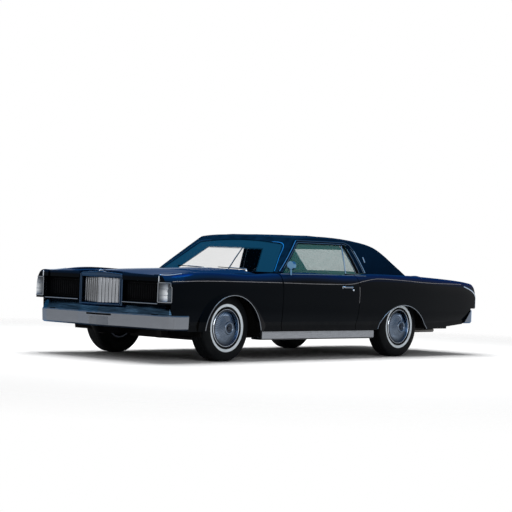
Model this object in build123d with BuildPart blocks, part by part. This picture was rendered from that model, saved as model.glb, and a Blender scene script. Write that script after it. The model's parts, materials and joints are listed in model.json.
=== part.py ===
from build123d import *

import os
from math import cos, radians, sin

# A full-size two-door luxury coupe in millimetres: nose to -Y, the car's left to +X, ground at Z 0

os.makedirs("parts", exist_ok=True)

# Overall sizes
length = 5489
half_width = 1008
wheelbase = 2977
front_overhang = 1020
half_track = 791
roof_height = 1368

# Wheels and tyres
tyre_radius = 352
tyre_width = 212
rim_radius = 190
rim_wall = 15
hub_bore = 30.05
spindle_radius = 30

# Where things stand along the car
nose = -length / 2
tail = length / 2
front_axle = nose + front_overhang
rear_axle = front_axle + wheelbase
axle_height = tyre_radius
hood_rear = front_axle + 706
hood_front = nose + 100
fascia_front = nose + 36
cover_face = nose + 92
cowl_front = hood_rear + 16
door_front = front_axle + 760
door_length = 1295
door_rear = door_front + door_length
lid_front = tail - 1114
deck_front = lid_front - 580
lamp_pivot_y = cover_face + 107
lamp_pivot_z = 705

# Heights and widths of the body
sill_height = 322
belt_height = 946
floor_height = 300
floor_thickness = 12
trunk_floor = 500
trunk_well = 384
door_inner = 880
hood_half = 788
lid_half = 700
cabin_half = 838
tunnel_half = 140
tunnel_top = 430
seam = 6
skin = 36

# Wheel openings
front_arch_radius = 430
front_arch_y = front_axle - 16
front_arch_z = 262
rear_arch_radius = 555
rear_arch_y = rear_axle - 56
rear_arch_z = 46

# Licence plate bolts
plate_bolt_radius = 3.5
plate_bolt_x = 88.9
front_plate_z = 410
rear_plate_z = 470

# Hinges
pin_radius = 5
pin_play = 0.05
seat_gap = 0.3
door_hinge_x = half_width - 12
door_hinge_y = door_front + 24
door_hinge_heights = (560, 780)
kingpin_x = 700


def block(x0, x1, y0, y1, z0, z1):
    """A box between two corners."""
    with BuildPart() as made:
        with Locations(((x0 + x1) / 2, (y0 + y1) / 2, (z0 + z1) / 2)):
            Box(abs(x1 - x0), abs(y1 - y0), abs(z1 - z0))
    return made.part


def side_prism(outline, x0, x1, taper=0):
    """A side-view outline of (y, z) points carried from x0 to x1."""
    with BuildPart() as made:
        with BuildSketch(Plane.YZ.offset(x0)):
            with BuildLine():
                Polyline(*outline, close=True)
            make_face()
        extrude(amount=x1 - x0, taper=taper)
    return made.part


def front_prism(outline, y0, y1):
    """A front-view outline of (x, z) points carried from y0 back to y1."""
    with BuildPart() as made:
        with BuildSketch(Plane.XZ.offset(-y1)):
            with BuildLine():
                Polyline(*outline, close=True)
            make_face()
        extrude(amount=y1 - y0)
    return made.part


def plan_prism(outline, z0, z1):
    """A plan-view outline of (x, y) points carried up from z0 to z1."""
    with BuildPart() as made:
        with BuildSketch(Plane.XY.offset(z0)):
            with BuildLine():
                Polyline(*outline, close=True)
            make_face()
        extrude(amount=z1 - z0)
    return made.part


def rod_x(y, z, radius, x0, x1):
    """A round bar along the car's width."""
    with BuildPart() as made:
        with BuildSketch(Plane.YZ.offset(x0)):
            with Locations((y, z)):
                Circle(radius)
        extrude(amount=x1 - x0)
    return made.part


def rod_y(x, z, radius, y0, y1):
    """A round bar along the car's length."""
    with BuildPart() as made:
        with BuildSketch(Plane.XZ.offset(-y1)):
            with Locations((x, z)):
                Circle(radius)
        extrude(amount=y1 - y0)
    return made.part


def rod_z(x, y, radius, z0, z1):
    """An upright round bar."""
    with BuildPart() as made:
        with BuildSketch(Plane.XY.offset(z0)):
            with Locations((x, y)):
                Circle(radius)
        extrude(amount=z1 - z0)
    return made.part


def mirrored(piece):
    """The same piece on the other side of the car."""
    with BuildPart() as made:
        add(piece)
        mirror(about=Plane.YZ, mode=Mode.REPLACE)
    return made.part


def both_sides(piece):
    """A piece and its mirror image, as solids of one node."""
    with BuildPart() as made:
        add(piece)
        mirror(about=Plane.YZ)
    return made.part


def joined(*pieces):
    """Pieces fused into one."""
    with BuildPart() as made:
        for piece in pieces:
            add(piece)
    return made.part


def trimmed(piece, keep=(), cut=()):
    """A piece kept inside some shapes and cut by others."""
    with BuildPart() as made:
        add(piece)
        for shape in keep:
            add(shape, mode=Mode.INTERSECT)
        for shape in cut:
            add(shape, mode=Mode.SUBTRACT)
    return made.part


# Body side: how far in the side stands from the full half width, the height of
# the fender's crown and the height of the lower lip, along the car.
side_stations = [
    (nose + 20, 36, 893, 334),
    (nose + 345, 20, 907, 332),
    (front_axle, 6, 922, 330),
    (door_front, 0, 934, 330),
    (door_front + 965, 0, 936, 330),
    (door_rear - 40, 0, 937, 330),
    (door_rear + 210, 2, 952, 330),
    (door_rear + 490, 4, 957, 331),
    (rear_axle, 7, 951, 333),
    (rear_axle + 498, 18, 935, 342),
    (tail - 494, 40, 912, 366),
    (tail - 145, 62, 888, 384),
    (tail - 2, 76, 872, 392),
]


def flank(inset=0):
    """The left body side as a solid, its outer skin moved in by inset."""
    with BuildPart() as made:
        for y, narrower, crown, lip in side_stations:
            side = half_width - narrower - inset
            with BuildSketch(Plane.XZ.offset(-y)):
                with BuildLine():
                    Line((side - 18, 175), (side - 8, lip))
                    Line((side - 8, lip), (side - 19, lip + 52))
                    Spline(
                        (side - 19, lip + 52),
                        (side - 6, 500),
                        (side, 640),
                        (side - 9, crown - 105),
                        (side - 26, crown - 58),
                    )
                    Spline(
                        (side - 26, crown - 58),
                        (side - 62 + 0.2 * inset, crown - 16 - inset),
                        (side - 112 + 0.5 * inset, crown - inset),
                    )
                    Polyline(
                        (side - 112 + 0.5 * inset, crown - inset),
                        (600, crown - inset - 6),
                        (600, 175),
                        (side - 18, 175),
                    )
                make_face()
        loft()
    return made.part


flank_outer = flank()
flank_hollow = trimmed(flank(skin), keep=[block(0, 1100, nose + 50, tail - 32, 0, 1000)])
flank_shell = trimmed(flank_outer, cut=[flank_hollow])
flank_cleared = flank(-seat_gap)
inside_skin = trimmed(flank(skin + seat_gap), keep=[block(0, 1100, nose + 51, tail - 33, 0, 1000)])

# Greenhouse: side-view profile lofted across the car, trimmed by the leaning sides.
header_y = front_axle + 1200
backlight_base = lid_front - 192
roof_edge_radius, roof_thickness = 45, 35


def glasshouse(inset, edge=0):
    """The closed volume of roof, glass and pillars, moved in by inset, its rails rounded by edge."""
    with BuildPart() as profile:
        for x in (-960, -480, 0, 480, 960):
            outward = (x / 960) ** 2
            drop = 26 * outward + inset
            base = cowl_front - 38 + 30 * outward + 1.3 * inset
            header = header_y + 98 * outward + 0.6 * inset
            foot = backlight_base - 1.3 * inset
            with BuildSketch(Plane.YZ.offset(x)):
                with BuildLine():
                    Line((base, 900), (header, roof_height - 30 - drop))
                    Spline(
                        (header, roof_height - 30 - drop),
                        (header_y + 270, roof_height - 6 - drop),
                        (header_y + 640, roof_height - drop),
                        (header_y + 1080, roof_height - 26 - drop),
                        (backlight_base - 708, roof_height - 48 - drop),
                        (backlight_base - 518, roof_height - 90 - drop),
                        (backlight_base - 352, roof_height - 186 - drop),
                        (foot - 273, roof_height - 250 - drop),
                    )
                    Line((foot - 273, roof_height - 250 - drop), (foot, 900))
                    Line((foot, 900), (base, 900))
                make_face()
        loft()
    lean_top = roof_height + 20
    lean_middle = (900 + lean_top) / 2
    with BuildPart() as sides:
        leaning = [
            (hood_rear - 60, 884, 640),
            (door_front + 200, 898, 650),
            (door_front + 1000, 905, 655),
            (rear_axle - 300, 900, 650),
            (rear_axle + 300, 868, 625),
            (lid_front + 130, 820, 600),
        ]
        for y, belt_half, top_half in leaning:
            low, high = belt_half + 20 - inset, top_half - inset
            with BuildSketch(Plane.XZ.offset(-y)):
                with BuildLine():
                    Spline((low, 900), ((low + high) / 2 + 16, lean_middle), (high, lean_top))
                    Polyline((high, lean_top), (-high, lean_top))
                    Spline((-high, lean_top), (-(low + high) / 2 - 16, lean_middle), (-low, 900))
                    Polyline((-low, 900), (low, 900))
                make_face()
        loft()
    with BuildPart() as made:
        add(profile.part)
        add(sides.part, mode=Mode.INTERSECT)
        if edge:
            rails = made.edges().filter_by(
                lambda e: e.center().Z > roof_height - 160 and abs(e.center().X) > 500
            )
            fillet(rails, radius=edge)
    return made.part

# Roof, windows and the frame round them
window_top = roof_height - 96
windshield_y = header_y + 80
roof_shell = trimmed(
    glasshouse(0, roof_edge_radius),
    cut=[glasshouse(roof_thickness, roof_edge_radius - roof_thickness)],
)
glass_sheet = trimmed(glasshouse(6), cut=[glasshouse(12)])


def side_opening():
    """The side window opening, as seen from the side."""
    return [
        (door_front + 65, belt_height - 30),
        (windshield_y, window_top),
        (door_rear + 48, window_top),
        (door_rear + 112, window_top - 22),
        (door_rear + 150, window_top - 77),
        (door_rear + 204, window_top - 270),
        (door_rear + 214, belt_height - 40),
    ]


def windshield_opening(clear):
    """The windshield opening, as seen from the front, made smaller by clear."""
    low, high = 832 - clear, 622 - clear
    with BuildPart() as made:
        with BuildSketch(Plane.XZ.offset(-windshield_y)):
            with BuildLine():
                Line((-low, belt_height + clear), (low, belt_height + clear))
                Line((low, belt_height + clear), (high, window_top - 14 - clear))
                ThreePointArc(
                    (high, window_top - 14 - clear),
                    (0, window_top + 26 - clear),
                    (-high, window_top - 14 - clear),
                )
                Line((-high, window_top - 14 - clear), (-low, belt_height + clear))
            make_face()
        extrude(amount=900)
    return made.part


def backlight_opening(clear):
    """The rear window opening, as seen from above, made smaller by clear."""
    top_y, low_y = backlight_base - 463 + clear, backlight_base - 90 - clear
    outline = [
        (-560 + clear, top_y),
        (560 - clear, top_y),
        (620 - clear, low_y),
        (-620 + clear, low_y),
    ]
    return plan_prism(outline, belt_height, roof_height + 40)


front_region = side_prism(
    [
        (nose, belt_height),
        (door_front + 103, belt_height),
        (windshield_y, window_top),
        (windshield_y, roof_height + 60),
        (nose, roof_height + 60),
    ],
    -1000,
    1000,
)
side_windows = side_prism(side_opening(), -1000, 1000)

windshield_frame = trimmed(
    roof_shell, keep=[front_region], cut=[windshield_opening(0), side_windows]
)
windshield = trimmed(glass_sheet, keep=[windshield_opening(0.4)])
roof = trimmed(
    roof_shell,
    keep=[block(-1000, 1000, windshield_y, lid_front, belt_height - 2, 1500)],
    cut=[
        front_region,
        side_windows,
        backlight_opening(0),
        flank_cleared,
        mirrored(flank_cleared),
        block(-795, 795, backlight_base - 300, lid_front + 60, 800, belt_height + 0.3),
    ],
)
rear_window = trimmed(glass_sheet, keep=[backlight_opening(0.4)])

divider_low, divider_high = door_rear - 116, door_rear + 61
door_glass_outline = [
    (door_front + 74, belt_height - 30),
    (windshield_y + 8, window_top - seam),
    (divider_high - 4, window_top - seam),
    (divider_low - 40, belt_height - 46),
]
quarter_glass_outline = [
    (divider_low - 3, belt_height + 3),
    (divider_high + 4, window_top - seam),
    (door_rear + 104, window_top - 26),
    (door_rear + 144, window_top - 79),
    (door_rear + 198, window_top - 272),
    (door_rear + 208, belt_height + 3),
]
left_door_window = trimmed(
    glass_sheet, keep=[side_prism(door_glass_outline, 500, 1000)], cut=[flank_cleared]
)
quarter_window = trimmed(
    glass_sheet, keep=[side_prism(quarter_glass_outline, 500, 1000)], cut=[flank_cleared]
)
quarter_windows = both_sides(quarter_window)


# Doors
def door_prism(grow):
    """The door's outline carried inwards with drawn-in edges, made larger by grow."""
    front, rear, low = door_front - grow, door_rear + grow, sill_height - grow
    outer = Plane(origin=(half_width + 6, 0, 0), x_dir=(0, 1, 0), z_dir=(-1, 0, 0))
    with BuildPart() as made:
        with BuildSketch(outer):
            with BuildLine():
                Polyline((rear - 6, -1010), (front, -1010), (front, -low), (rear - 34, -low))
                ThreePointArc((rear - 34, -low), (rear + 24, -650), (rear - 6, -1010))
            make_face()
        extrude(amount=half_width + 6 - door_inner, taper=6)
    return made.part


def hinge_pocket(z):
    """The room that a door hinge's strap needs in the door, at every angle."""
    return joined(
        block(door_inner - 10, door_hinge_x, door_front - 4, door_hinge_y + 11, z - 10, z + 10),
        rod_z(door_hinge_x, door_hinge_y, 7, z - 10, z + 10),
        rod_z(door_hinge_x, door_hinge_y, pin_radius + pin_play, z, z + 30),
    )


def hinge_strap(z):
    """A door hinge's strap and pin, carried by the hinge pillar."""
    root_x = door_inner + 20
    return joined(
        block(root_x, root_x + 24, pillar_face - 2, door_hinge_y + 6, z - 5, z + 5),
        block(root_x, door_hinge_x, door_hinge_y - 1, door_hinge_y + 6, z - 5, z + 5),
        rod_z(door_hinge_x, door_hinge_y, 6, z - 5, z + 5),
        rod_z(door_hinge_x, door_hinge_y, pin_radius, z, z + 27),
    )


pillar_face = door_front - 10
left_door = trimmed(
    flank_outer, keep=[door_prism(0)], cut=[hinge_pocket(z) for z in door_hinge_heights]
)

mirror_x, mirror_y, mirror_z = half_width - 55, door_front + 154, belt_height + 80
door_mirror = joined(
    trimmed(rod_z(mirror_x - 8, mirror_y + 22, 11, 880, mirror_z - 20), cut=[flank_cleared]),
    rod_y(mirror_x, mirror_z, 46, mirror_y, mirror_y + 44),
)

# Front fenders
front_arch = rod_x(front_arch_y, front_arch_z, front_arch_radius, 700, 1100)
with BuildPart() as front_flare:
    with BuildSketch(Plane(origin=(0, front_arch_y, front_arch_z), x_dir=(0, 0, 1), z_dir=(0, 1, 0))):
        with BuildLine():
            Polyline(
                (front_arch_radius - 2, half_width - 50),
                (front_arch_radius - 2, half_width),
                (front_arch_radius + 16, half_width),
                (front_arch_radius + 96, half_width - 16),
                (front_arch_radius + 96, half_width - 50),
                close=True,
            )
        make_face()
    revolve(axis=Axis((0, front_arch_y, front_arch_z), (1, 0, 0)), revolution_arc=360)

lamp_inner, lamp_low, lamp_high = 856, 614, 814
lamp_back = nose + 100
bumper_end, bumper_step, bumper_top = nose + 333, 484, 588
left_front_fender = trimmed(
    joined(
        flank_shell,
        trimmed(front_flare.part, keep=[block(800, 1100, nose, door_front, sill_height, 900)]),
    ),
    keep=[block(hood_half + seam, 1100, nose, door_front - 8, sill_height, 1000)],
    cut=[
        front_arch,
        block(700, 1100, nose - 5, bumper_end + seam, 0, bumper_step + 4),
        block(700, 1100, nose - 5, nose + 127, 0, bumper_top + 4),
        block(700, lamp_inner - 1.7, nose, nose + 60, bumper_top, 823),
        block(700, lamp_inner - 1.7, nose + 59, nose + 330, bumper_top, 870),
        block(lamp_inner, 1100, nose, lamp_back, lamp_low, lamp_high),
    ],
)
parking_lamp = trimmed(
    flank_outer,
    keep=[
        block(
            lamp_inner + 0.3, 1100, nose, lamp_back - 0.3, lamp_low + 0.3, lamp_high - 0.3
        )
    ],
)
parking_lamps = both_sides(parking_lamp)

# Quarter panels
rear_arch = rod_x(rear_arch_y, rear_arch_z, rear_arch_radius, 700, 1100)
tail_lamp_box = (770, 906, tail - 44, tail + 10, 590, 820)
jamb = trimmed(
    block(cabin_half + 10, 990, door_rear + 40, door_rear + 62, sill_height, 950), keep=[flank_outer]
)
left_quarter_panel = trimmed(
    joined(flank_shell, jamb),
    keep=[
        joined(
            block(cabin_half - 44, 1100, door_front + 800, lid_front - 12, 200, 1000),
            block(lid_half + seam, 1100, lid_front - 12, tail, 200, 1000),
        )
    ],
    cut=[
        door_prism(8),
        block(700, 1100, door_front, door_rear - 30, 0, 1000),
        rear_arch,
        block(700, 1100, door_front, rear_axle - 200, 0, sill_height),
        side_prism(
            [
                (rear_axle + 300, 316),
                (rear_axle + 410, 316),
                (tail - 332, 376),
                (tail + 10, 402),
                (tail + 10, 0),
                (rear_axle + 300, 0),
            ],
            700,
            1100,
        ),
        side_prism(
            [
                (tail - 282, 300),
                (tail - 282, 393),
                (tail - 96, 566),
                (tail + 10, 566),
                (tail + 10, 300),
            ],
            700,
            1100,
        ),
        block(*tail_lamp_box),
    ],
)
tail_lamp = trimmed(
    flank_outer, keep=[block(770.3, 905.7, tail - 43.7, tail, 590.3, 819.7)]
)
tail_lamps = both_sides(tail_lamp)


# Hood and trunk lid
def crowned_panel(stations, half, depth):
    """A panel lofted along the car from (y, edge height, centre height, dome half width)."""
    with BuildPart() as made:
        for y, edge, centre, dome in stations:
            top = [
                (-half, edge),
                (-dome - 120, edge + 5),
                (-dome, centre - 10),
                (-dome * 0.6, centre - 3),
                (0, centre),
                (dome * 0.6, centre - 3),
                (dome, centre - 10),
                (dome + 120, edge + 5),
                (half, edge),
            ]
            with BuildSketch(Plane.XZ.offset(-y)):
                with BuildLine():
                    Spline(*top)
                    Line((half, edge), (half, edge - depth))
                    Spline(*[(x, z - depth) for x, z in reversed(top)])
                    Line((-half, edge - depth), (-half, edge))
                make_face()
        loft()
    return made.part


panel_depth = 25
ear_x = 400
hood_axis = (hood_rear - 12, 944)
lid_axis = (lid_front + 12, 932)


def ear_notches(axis, reach):
    """The room for two hinge ears in a lid's edge, and the bores for their pins."""
    y, z = axis
    cut = []
    for x in (-ear_x, ear_x):
        cut.append(block(x - 11, x + 11, y, y + reach, z - 60, z + 60))
        cut.append(rod_x(y, z, 14, x - 11, x + 11))
        cut.append(block(x - 11, x + 11, y - 14, y + 14, z, z + 60))
        cut.append(rod_x(y, z, pin_radius + pin_play, x - 27, x + 27))
    return cut


def hinge_ears(axis, root_y, low, high):
    """Two ears with pins that carry a lid along its edge."""
    y, z = axis
    pieces = []
    for x in (-ear_x, ear_x):
        pieces.append(block(x - 5, x + 5, min(y, root_y), max(y, root_y), low, high))
        pieces.append(rod_x(y, z, 8, x - 5, x + 5))
        pieces.append(rod_x(y, z, pin_radius, x - 25, x + 25))
    return pieces


hood = trimmed(
    crowned_panel(
        [
            (hood_front, 889, 912, 300),
            (nose + 345, 902, 924, 320),
            (front_axle, 917, 946, 370),
            (hood_rear, 929, 966, 440),
        ],
        hood_half,
        panel_depth,
    ),
    cut=ear_notches(hood_axis, 20),
)

hump_radius, hump_z = 300, 640
with BuildPart() as hump:
    for y, radius in ((tail - 460, hump_radius - 44), (tail - 5, hump_radius)):
        with BuildSketch(Plane.XZ.offset(-y)):
            with Locations((0, hump_z)):
                Circle(radius)
    loft()
with BuildPart() as hump_hollow:
    for y, radius in ((tail - 470, hump_radius - 71), (tail - 32, hump_radius - 27)):
        with BuildSketch(Plane.XZ.offset(-y)):
            with Locations((0, hump_z)):
                Circle(radius)
    loft()
hump_shown = trimmed(
    hump.part,
    keep=[
        joined(
            block(-400, 400, tail - 470, tail, 862, 1000),
            block(-400, 400, tail - 34, tail, 572, 1000),
        )
    ],
)
lid_top = crowned_panel(
    [
        (lid_front, 934, 945, 420),
        (rear_axle + 498, 930, 943, 420),
        (tail - 494, 908, 926, 420),
        (tail - 145, 884, 904, 420),
        (tail - 14, 870, 890, 420),
    ],
    lid_half,
    panel_depth,
)
trunk_lid = trimmed(
    joined(lid_top, hump_shown),
    cut=[hump_hollow.part] + ear_notches(lid_axis, -20),
)

rear_panel = trimmed(
    block(-lid_half - 5.7, lid_half + 5.7, tail - 46, tail - 28, trunk_well + 176, 838),
    cut=[rod_y(0, hump_z, hump_radius + 8, tail - 60, tail), block(-308, 308, tail - 60, tail, 500, 640)],
)

rear_deck = joined(
    block(-cabin_half + 44.3, cabin_half - 44.3, deck_front, lid_front - 12, 926, belt_height),
    block(-cabin_half + 44.3, cabin_half - 44.3, deck_front + 98, deck_front + 110, 780, 926),
    block(-626, 626, deck_front + 98, deck_front + 110, trunk_floor + floor_thickness, 780),
    *hinge_ears(lid_axis, lid_front - 14, 926, 940),
)

# Cowl, firewall and hinge pillars
pad_inner, pad_outer = 780, 874
cowl_side = trimmed(
    joined(
        block(pad_inner, pad_outer, door_front - 7, door_front + 112, 900, belt_height),
        block(cabin_half, pad_outer, cowl_front, door_front + 60, sill_height, 910),
        block(cabin_half, 990, pillar_face - 100, pillar_face, sill_height, 910),
    ),
    keep=[joined(inside_skin, block(700, pad_outer, door_front - 7.7, 0, 0, 1000))],
)
cowl_side = joined(cowl_side, *[hinge_strap(z) for z in door_hinge_heights])
cowl = trimmed(
    joined(
        block(-hood_half, hood_half, cowl_front, door_front + 25, 930, belt_height),
        block(-cabin_half, cabin_half, cowl_front, cowl_front + 12, floor_height + floor_thickness, 892),
        block(-hood_half, hood_half, cowl_front, cowl_front + 12, 890, belt_height),
        cowl_side,
        mirrored(cowl_side),
        *hinge_ears(hood_axis, cowl_front + 2, 932, belt_height),
    ),
    cut=[block(-tunnel_half, tunnel_half, cowl_front - 5, cowl_front + 20, 0, tunnel_top)],
)

# Grille, fascia and front lamps
v_depth = 50
grille = trimmed(
    front_prism(
        [(-320, 552.3), (320, 552.3), (320, 872), (120, 890), (0, 904), (-120, 890), (-320, 872)],
        nose,
        nose + 92,
    ),
    keep=[
        plan_prism(
            [(0, nose), (330, nose + v_depth), (330, nose + 92), (-330, nose + 92), (-330, nose + v_depth)],
            540,
            920,
        )
    ],
    cut=[
        trimmed(
            block(-286, 286, nose - 10, nose + 92, 574, 842),
            keep=[
                plan_prism(
                    [
                        (0, nose + 30),
                        (330, nose + v_depth + 30),
                        (330, nose - 20),
                        (-330, nose - 20),
                        (-330, nose + v_depth + 30),
                    ],
                    540,
                    920,
                )
            ],
        )
    ],
)

wall_in, wall_out = 322, lamp_inner - 2
board_y = nose + 222
fascia_half = joined(
    front_prism(
        [(wall_in, 823), (hood_half + 2, 823), (hood_half + 2, 885), (wall_in, 898)],
        fascia_front,
        nose + 90,
    ),
    block(wall_in, wall_out, fascia_front, board_y + 8, 590, 601),
    block(wall_out - 6, wall_out, nose + 52, board_y + 8, 601, 822),
    block(wall_in, wall_in + 8, nose + 60, board_y + 8, 601, 823),
    block(0, wall_out, board_y, board_y + 8, 601, 790),
)
cover_in, cover_out = wall_in + 14, wall_out - 12
arm_width = 8
fascia_half = trimmed(
    fascia_half,
    cut=[
        rod_x(lamp_pivot_y, lamp_pivot_z, pin_radius + pin_play, 300, 900),
        *[
            block(x - seam, x + arm_width + seam, board_y - 1, board_y + 9, lamp_pivot_z - 5, 791)
            for x in (cover_in, cover_out - arm_width)
        ],
    ],
)
header_panel = joined(fascia_half, mirrored(fascia_half))

left_headlight_cover = joined(
    block(cover_in, cover_out, cover_face, cover_face + 12, 606, 817),
    *[
        side_prism(
            [
                (cover_face + 11, 640),
                (cover_face + 11, 770),
                (lamp_pivot_y + 12, lamp_pivot_z + 12),
                (lamp_pivot_y + 12, lamp_pivot_z - 12),
            ],
            x,
            x + arm_width,
        )
        for x in (cover_in, cover_out - arm_width)
    ],
    rod_x(lamp_pivot_y, lamp_pivot_z, pin_radius, wall_in + 1, cover_in + 4),
    rod_x(lamp_pivot_y, lamp_pivot_z, pin_radius, cover_out - 4, wall_out - 1),
)

headlamp_radius = 73
headlamp = joined(
    *[
        rod_y(x, lamp_pivot_z, headlamp_radius, cover_face + 56, board_y - 0.3)
        for x in (465, 712)
    ]
)
headlamps = both_sides(headlamp)


# Bumpers
def set_back(points, distance):
    """Half of a plan outline, starting on the centre line, moved inwards by distance."""
    first, last = Vector(*points[0]), Vector(*points[-1])
    line = [Vector(-points[1][0], points[1][1])] + [Vector(*point) for point in points]
    line.append(last * 2 - line[-2])
    moved = []
    for before, here, after in zip(line, line[1:], line[2:]):
        come, go = (here - before).normalized(), (after - here).normalized()
        middle = (come + go).normalized()
        inward = middle.rotate(Axis.Z, 90) * (distance / come.dot(middle))
        moved.append((here.X + inward.X, here.Y + inward.Y))
    moved[0] = (first.X, moved[0][1])
    return moved


def bumper(levels, end_y, sign, points, inner_points, wall):
    """A wrapped bumper: plan outlines lofted up through (height, set-back) levels."""
    with BuildPart() as made:
        for z, back in levels:
            left = set_back(points, back) + set_back(inner_points, back + wall)[::-1]
            right = [(-x, y) for x, y in reversed(left)]
            outline = [(x, end_y + sign * y) for x, y in left[:-1] + right[:-1]]
            with BuildSketch(Plane.XY.offset(z)):
                with BuildLine():
                    Polyline(*outline, close=True)
                make_face()
        loft(ruled=True)
    return made.part


def plate_holes(z, y0, y1):
    """The two bolt holes for a licence plate."""
    return [rod_y(x, z, plate_bolt_radius, y0, y1) for x in (-plate_bolt_x, plate_bolt_x)]


front_bumper = trimmed(
    bumper(
        [(333, 24), (348, 6), (470, 0), (490, 10), (bumper_top, 46)],
        nose,
        1,
        [(0, 0), (330, 45), (860, 72), (950, 92), (990, 140), (1004, 210), (1004, 333)],
        [(0, 0), (330, 45), (900, 78), (1004, 190), (1004, 333)],
        70,
    ),
    cut=[
        block(-1100, 1100, nose + 121, nose + 500, bumper_step, 700),
        block(-326, 326, nose - 10, nose + 400, 552, 700),
        *plate_holes(front_plate_z, nose - 1, nose + 160),
    ],
)
rear_bumper = trimmed(
    bumper(
        [(387, 14), (402, 0), (540, 0), (556, 14)],
        tail,
        -1,
        [(0, 0), (700, 6), (860, 26), (925, 56), (952, 110), (960, 180), (966, 276)],
        [(0, 0), (700, 6), (900, 36), (962, 150), (966, 276)],
        60,
    ),
    cut=[
        side_prism(
            [
                (tail - 400, 560),
                (tail - 400, 380),
                (tail - 276, 380),
                (tail - 90, 560),
            ],
            -1100,
            1100,
        ),
        *plate_holes(rear_plate_z, tail - 120, tail + 1),
    ],
)

# Chassis frame
rail_low, rail_high = 230, floor_height
horn_low, horn_high, radiator_foot = 336, 420, 380
front_rail, mid_rail, rear_rail = (400, 470), (560, 640), (470, 550)
ball_low, ball_high = axle_height - 132, axle_height + 128
side_frame = joined(
    block(*front_rail, nose + 480, front_axle + 640, rail_low, rail_high),
    block(*front_rail, nose + 480, nose + 560, rail_high, horn_high),
    block(*front_rail, nose + 122, nose + 480, horn_low, horn_high),
    block(front_rail[0], mid_rail[1], front_axle + 560, front_axle + 650, rail_low, rail_high),
    block(*mid_rail, front_axle + 560, rear_axle - 172, rail_low, rail_high),
    block(rear_rail[0], mid_rail[1], rear_axle - 240, rear_axle - 172, rail_low, rail_high),
    block(*rear_rail, rear_axle - 240, rear_axle - 172, rail_low, trunk_floor),
    block(*rear_rail, rear_axle - 240, rear_axle + 306, trunk_floor - 70, trunk_floor),
    block(*rear_rail, rear_axle + 238, rear_axle + 306, rail_high, trunk_floor),
    block(*rear_rail, rear_axle + 238, tail - 52, rail_high, trunk_well),
    block(front_rail[0] + 10, front_rail[1] + 10, front_axle - 80, front_axle + 80, rail_high, 540),
    block(mid_rail[0] + 10, mid_rail[1] - 10, front_axle + 760, front_axle + 820, rail_low - 8, rail_low),
    block(mid_rail[0] + 10, mid_rail[1] - 10, rear_axle - 480, rear_axle - 420, rail_low - 8, rail_low),
)
exhaust_x, exhaust_z, exhaust_radius = 350, 252, 24
shaft_z, prop_radius = axle_height - 4, 38
pinion_y = rear_axle - 160
frame_slots = [
    front_bumper,
    rear_bumper,
    rod_y(exhaust_x, exhaust_z, exhaust_radius + seat_gap, front_axle + 600, rear_axle - 120),
    rod_y(-exhaust_x, exhaust_z, exhaust_radius + seat_gap, front_axle + 600, rear_axle - 120),
    rod_y(0, shaft_z, prop_radius + seat_gap, front_axle + 700, pinion_y),
]
side_rail = trimmed(side_frame, cut=frame_slots)
chassis_frame = both_sides(side_rail)
front_inner, mid_inner, rear_inner = front_rail[0], mid_rail[0], rear_rail[0]
crossmember_blocks = [
    block(-front_inner, front_inner, nose + 240, nose + 310, horn_low, radiator_foot),
    joined(
        block(-front_inner, front_inner, front_axle - 66, front_axle + 66, ball_low - 20, rail_high),
        block(-front_rail[1], front_rail[1], front_axle - 66, front_axle + 66, ball_low - 20, rail_low),
    ),
    block(-mid_inner, mid_inner, front_axle + 1140, front_axle + 1220, rail_low, rail_high),
    block(-mid_inner, mid_inner, rear_axle - 460, rear_axle - 392, rail_low, rail_high),
    block(-rear_inner, rear_inner, tail - 130, tail - 52, rail_high, trunk_well),
    block(*rear_rail, tail - 83, tail - 52, trunk_well, 470),
    block(-rear_rail[1], -rear_rail[0], tail - 83, tail - 52, trunk_well, 470),
]
frame_crossmembers = Compound(children=[trimmed(bar, cut=frame_slots) for bar in crossmember_blocks])

# Floor, rockers and wheelhouses
riser_y = rear_axle - 252
rear_house_radius, rear_house_z = 470, 300
house_front = rear_axle - rear_house_radius - 6
house_rear = rear_axle + rear_house_radius
well_y = rear_axle + 308
floor_pan = trimmed(
    joined(
        block(-cabin_half, cabin_half, cowl_front, house_front, floor_height, floor_height + floor_thickness),
        block(-627.7, 627.7, house_front, riser_y, floor_height, floor_height + floor_thickness),
        block(-tunnel_half, tunnel_half, cowl_front, riser_y + 12, floor_height, tunnel_top),
        block(-627.7, 627.7, riser_y, riser_y + 12, floor_height, trunk_floor + 12),
        block(-627.7, 627.7, riser_y, well_y + 12, trunk_floor, trunk_floor + 12),
        block(-560, 560, well_y, well_y + 12, trunk_well, trunk_floor + 12),
    ),
    cut=[
        block(-tunnel_half + 10, tunnel_half - 10, cowl_front - 1, riser_y + 20, 0, tunnel_top - 10),
    ],
)
well_floor = joined(
    block(-lid_half, lid_half, house_rear, tail - 84, trunk_well, trunk_well + 12),
    block(-560, 560, well_y + 12, house_rear, trunk_well, trunk_well + 12),
)
tail_wall = block(-lid_half, lid_half, tail - 96, tail - 84, trunk_well + 12, 640)
trunk_floor_pan = Compound(children=[well_floor, tail_wall])

rocker_front, rocker_rear = front_axle + 452, rear_axle - 600
with BuildPart() as left_rocker:
    with BuildSketch(Plane.XZ.offset(-rocker_rear)):
        with BuildLine():
            Polyline(
                (cabin_half, 316),
                (half_width - 22, 316),
                (half_width - 18, 300),
                (half_width - 20, 240),
                (half_width - 40, 226),
                (cabin_half, 226),
                close=True,
            )
        make_face()
    extrude(amount=rocker_rear - rocker_front)
rocker_panels = both_sides(left_rocker.part)

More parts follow.
